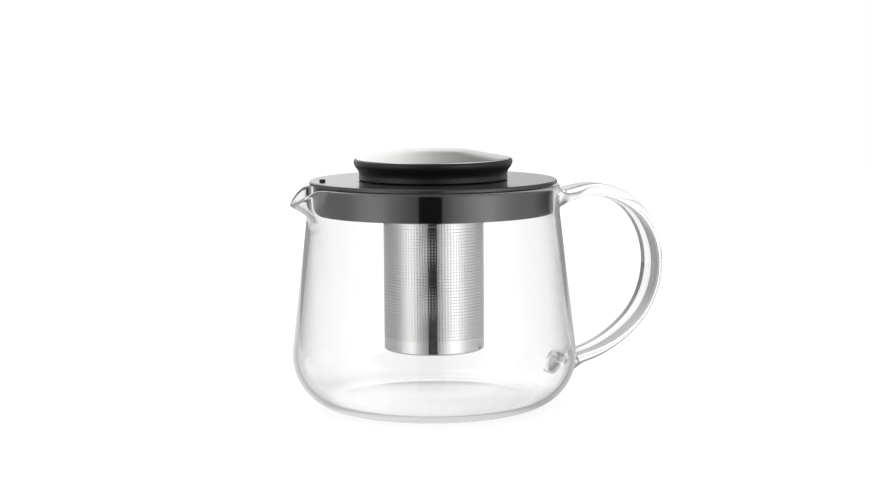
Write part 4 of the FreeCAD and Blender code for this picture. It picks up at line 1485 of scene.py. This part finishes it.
        white = grey(1.0)
        level = math.cos(self.ring_dip)
        straight = (-math.sin(self.camera_turn) * level, math.cos(self.camera_turn) * level,
                    -math.sin(self.ring_dip))
        along = add_node(tree, "ShaderNodeVectorMath", {"operation": "DOT_PRODUCT"}, {0: toward, 1: straight})
        bend = add_node(tree, "ShaderNodeMath", {"operation": "ARCCOSINE"}, {0: along.outputs["Value"]})
        away = add_node(tree, "ShaderNodeMath", {"operation": "DIVIDE"},
                        {0: bend.outputs[0], 1: math.pi}).outputs[0]
        horizon = above(self.horizon)
        low = around_pot(self.low_panels)
        cards = layered(white, (above(self.cards_begin), around_pot(self.neck_cards), Blend.OVER),
                        (horizon, white, Blend.OVER))
        lit = layered(low, (1.0, around_pot(self.backdrop), Blend.BRIGHTER))
        panels = layered(low, (1.0, cards, Blend.TIMES), (horizon, lit, Blend.OVER),
                         (above(self.backdrop_end), around_pot(self.high_panels), Blend.OVER),
                         (above(self.ceiling_begin), grey(self.ceiling), Blend.OVER),
                         (above(self.ground_begin), grey(self.below), Blend.OVER))
        edges = layered(panels, (above(self.sheet_begin), around_pot(self.left_sheet), Blend.BRIGHTER),
                        (1.0, cards, Blend.TIMES))
        path = add_node(tree, "ShaderNodeLightPath").outputs
        bounces = add_node(tree, "ShaderNodeMath", {"operation": "ADD"},
                           {0: path["Glossy Depth"], 1: path["Diffuse Depth"]})
        mirrored = add_node(tree, "ShaderNodeMath", {"operation": "GREATER_THAN"},
                            {0: bounces.outputs[0], 1: AT_LEAST_ONCE}).outputs[0]
        slender = add_node(tree, "ShaderNodeMath", {"operation": "LESS_THAN"},
                           {0: path["Transmission Depth"], 1: self.slender_below}).outputs[0]
        in_front = add_node(tree, "ShaderNodeMapRange", inputs={
            "Value": away, "From Min": self.in_front[0], "From Max": self.in_front[1]}).outputs["Result"]
        ring = layered(from_view(self.bent_ring),
                       (above(self.gap_begin), around_pot(self.ring_gap), Blend.BRIGHTER))
        out_of_wall = layered(from_view(self.wall_ring), (in_front, edges, Blend.OVER))
        trapped = layered(panels, (slender, out_of_wall, Blend.OVER))
        inside = layered(white, (slender, ring, Blend.OVER), (mirrored, trapped, Blend.OVER))
        seen = layered(edges, (path["Is Transmission Ray"], inside, Blend.OVER),
                       (path["Is Camera Ray"], white, Blend.OVER))
        shown = add_node(tree, "ShaderNodeBackground", inputs={"Color": seen, "Strength": 1.0})
        add_node(tree, "ShaderNodeOutputWorld", inputs={"Surface": shown.outputs[0]})

    def floor(self) -> None:
        """A pale glossy table top that keeps the pot's shadow and a faint mirror image.

        In mirror images and through glass it makes way for the panels and the backdrop, which reach
        below it.
        """
        shape = bmesh.new()
        bmesh.ops.create_circle(shape, cap_ends=True, segments=self.floor_segments, radius=self.floor_radius)
        bmesh.ops.translate(shape, verts=shape.verts, vec=(0, 0, -self.floor_gap))
        mesh = bpy.data.meshes.new("table_top")
        shape.to_mesh(mesh)
        shape.free()
        table = new_object("table_top", mesh)
        material, tree, output = new_material("pale_table")
        glow = add_node(tree, "ShaderNodeEmission", inputs={
            "Color": linear("#ffffff"), "Strength": self.floor_glow})
        matt = add_node(tree, "ShaderNodeBsdfDiffuse", inputs={"Color": linear(self.floor_colour)})
        pale = add_node(tree, "ShaderNodeAddShader", inputs={0: glow.outputs[0], 1: matt.outputs[0]})
        gloss = add_node(tree, "ShaderNodeBsdfAnisotropic", inputs={"Roughness": self.floor_rough})
        mixed = add_node(tree, "ShaderNodeMixShader", inputs={
            0: self.floor_gloss, 1: pale.outputs[0], 2: gloss.outputs[0]})
        path = add_node(tree, "ShaderNodeLightPath").outputs
        bent = add_node(tree, "ShaderNodeMath", {"operation": "ADD"},
                        {0: path["Glossy Depth"], 1: path["Transmission Depth"]})
        mirrored = add_node(tree, "ShaderNodeMath", {"operation": "GREATER_THAN"},
                            {0: bent.outputs[0], 1: AT_LEAST_ONCE})
        clear = add_node(tree, "ShaderNodeBsdfTransparent")
        shown = add_node(tree, "ShaderNodeMixShader", inputs={
            0: mirrored.outputs[0], 1: mixed.outputs[0], 2: clear.outputs[0]})
        tree.links.new(shown.outputs[0], output.inputs["Surface"])
        mesh.materials.append(material)

    def camera(self) -> None:
        """Set the camera at the photograph's viewing angle."""
        data = bpy.data.cameras.new("camera")
        data.lens = self.camera_lens
        data.clip_start = self.camera_near
        camera = bpy.data.objects.new("camera", data)
        bpy.context.scene.collection.objects.link(camera)
        side, depth = math.sin(self.camera_turn), math.cos(self.camera_turn)
        level = math.cos(self.camera_pitch)
        aim = self.camera_turn - self.camera_aim
        ahead = Vector((-math.sin(aim) * level, math.cos(aim) * level, -math.sin(self.camera_pitch)))
        right = Vector((math.cos(aim), math.sin(aim), 0.0))
        up = right.cross(ahead)
        tilted_right = right * math.cos(self.camera_roll) - up * math.sin(self.camera_roll)
        tilted_up = up * math.cos(self.camera_roll) + right * math.sin(self.camera_roll)
        axes = Matrix((tilted_right, tilted_up, -ahead)).transposed().to_4x4()
        place = Vector((side * self.camera_distance, -depth * self.camera_distance, self.camera_height))
        camera.matrix_world = Matrix.Translation(place) @ axes
        bpy.context.scene.camera = camera

    def build(self) -> None:
        """Set up the light, the floor and the camera."""
        bpy.context.scene.view_settings.view_transform = "Standard"
        self.light()
        self.floor()
        self.camera()


def main() -> None:
    """Build every sub-assembly."""
    logging.basicConfig(level=logging.INFO, format="%(name)s: %(message)s")
    glass = JUG_GLASS.make()
    sheet = STRAINER_SHEET.make()
    cap_steel = CAP_STEEL.make()
    plastic = PLATE_PLASTIC.make()
    silicone = COLLAR_SILICONE.make()
    rubber = GRIP_RUBBER.make()
    Studio().build()
    jug = Jug()
    jug.build(glass)
    Handle(jug).build(glass)
    Holder().build(plastic, silicone)
    Strainer().build(sheet)
    Lid().build(rubber, cap_steel, plastic, silicone)


if __name__ == "__main__":
    main()
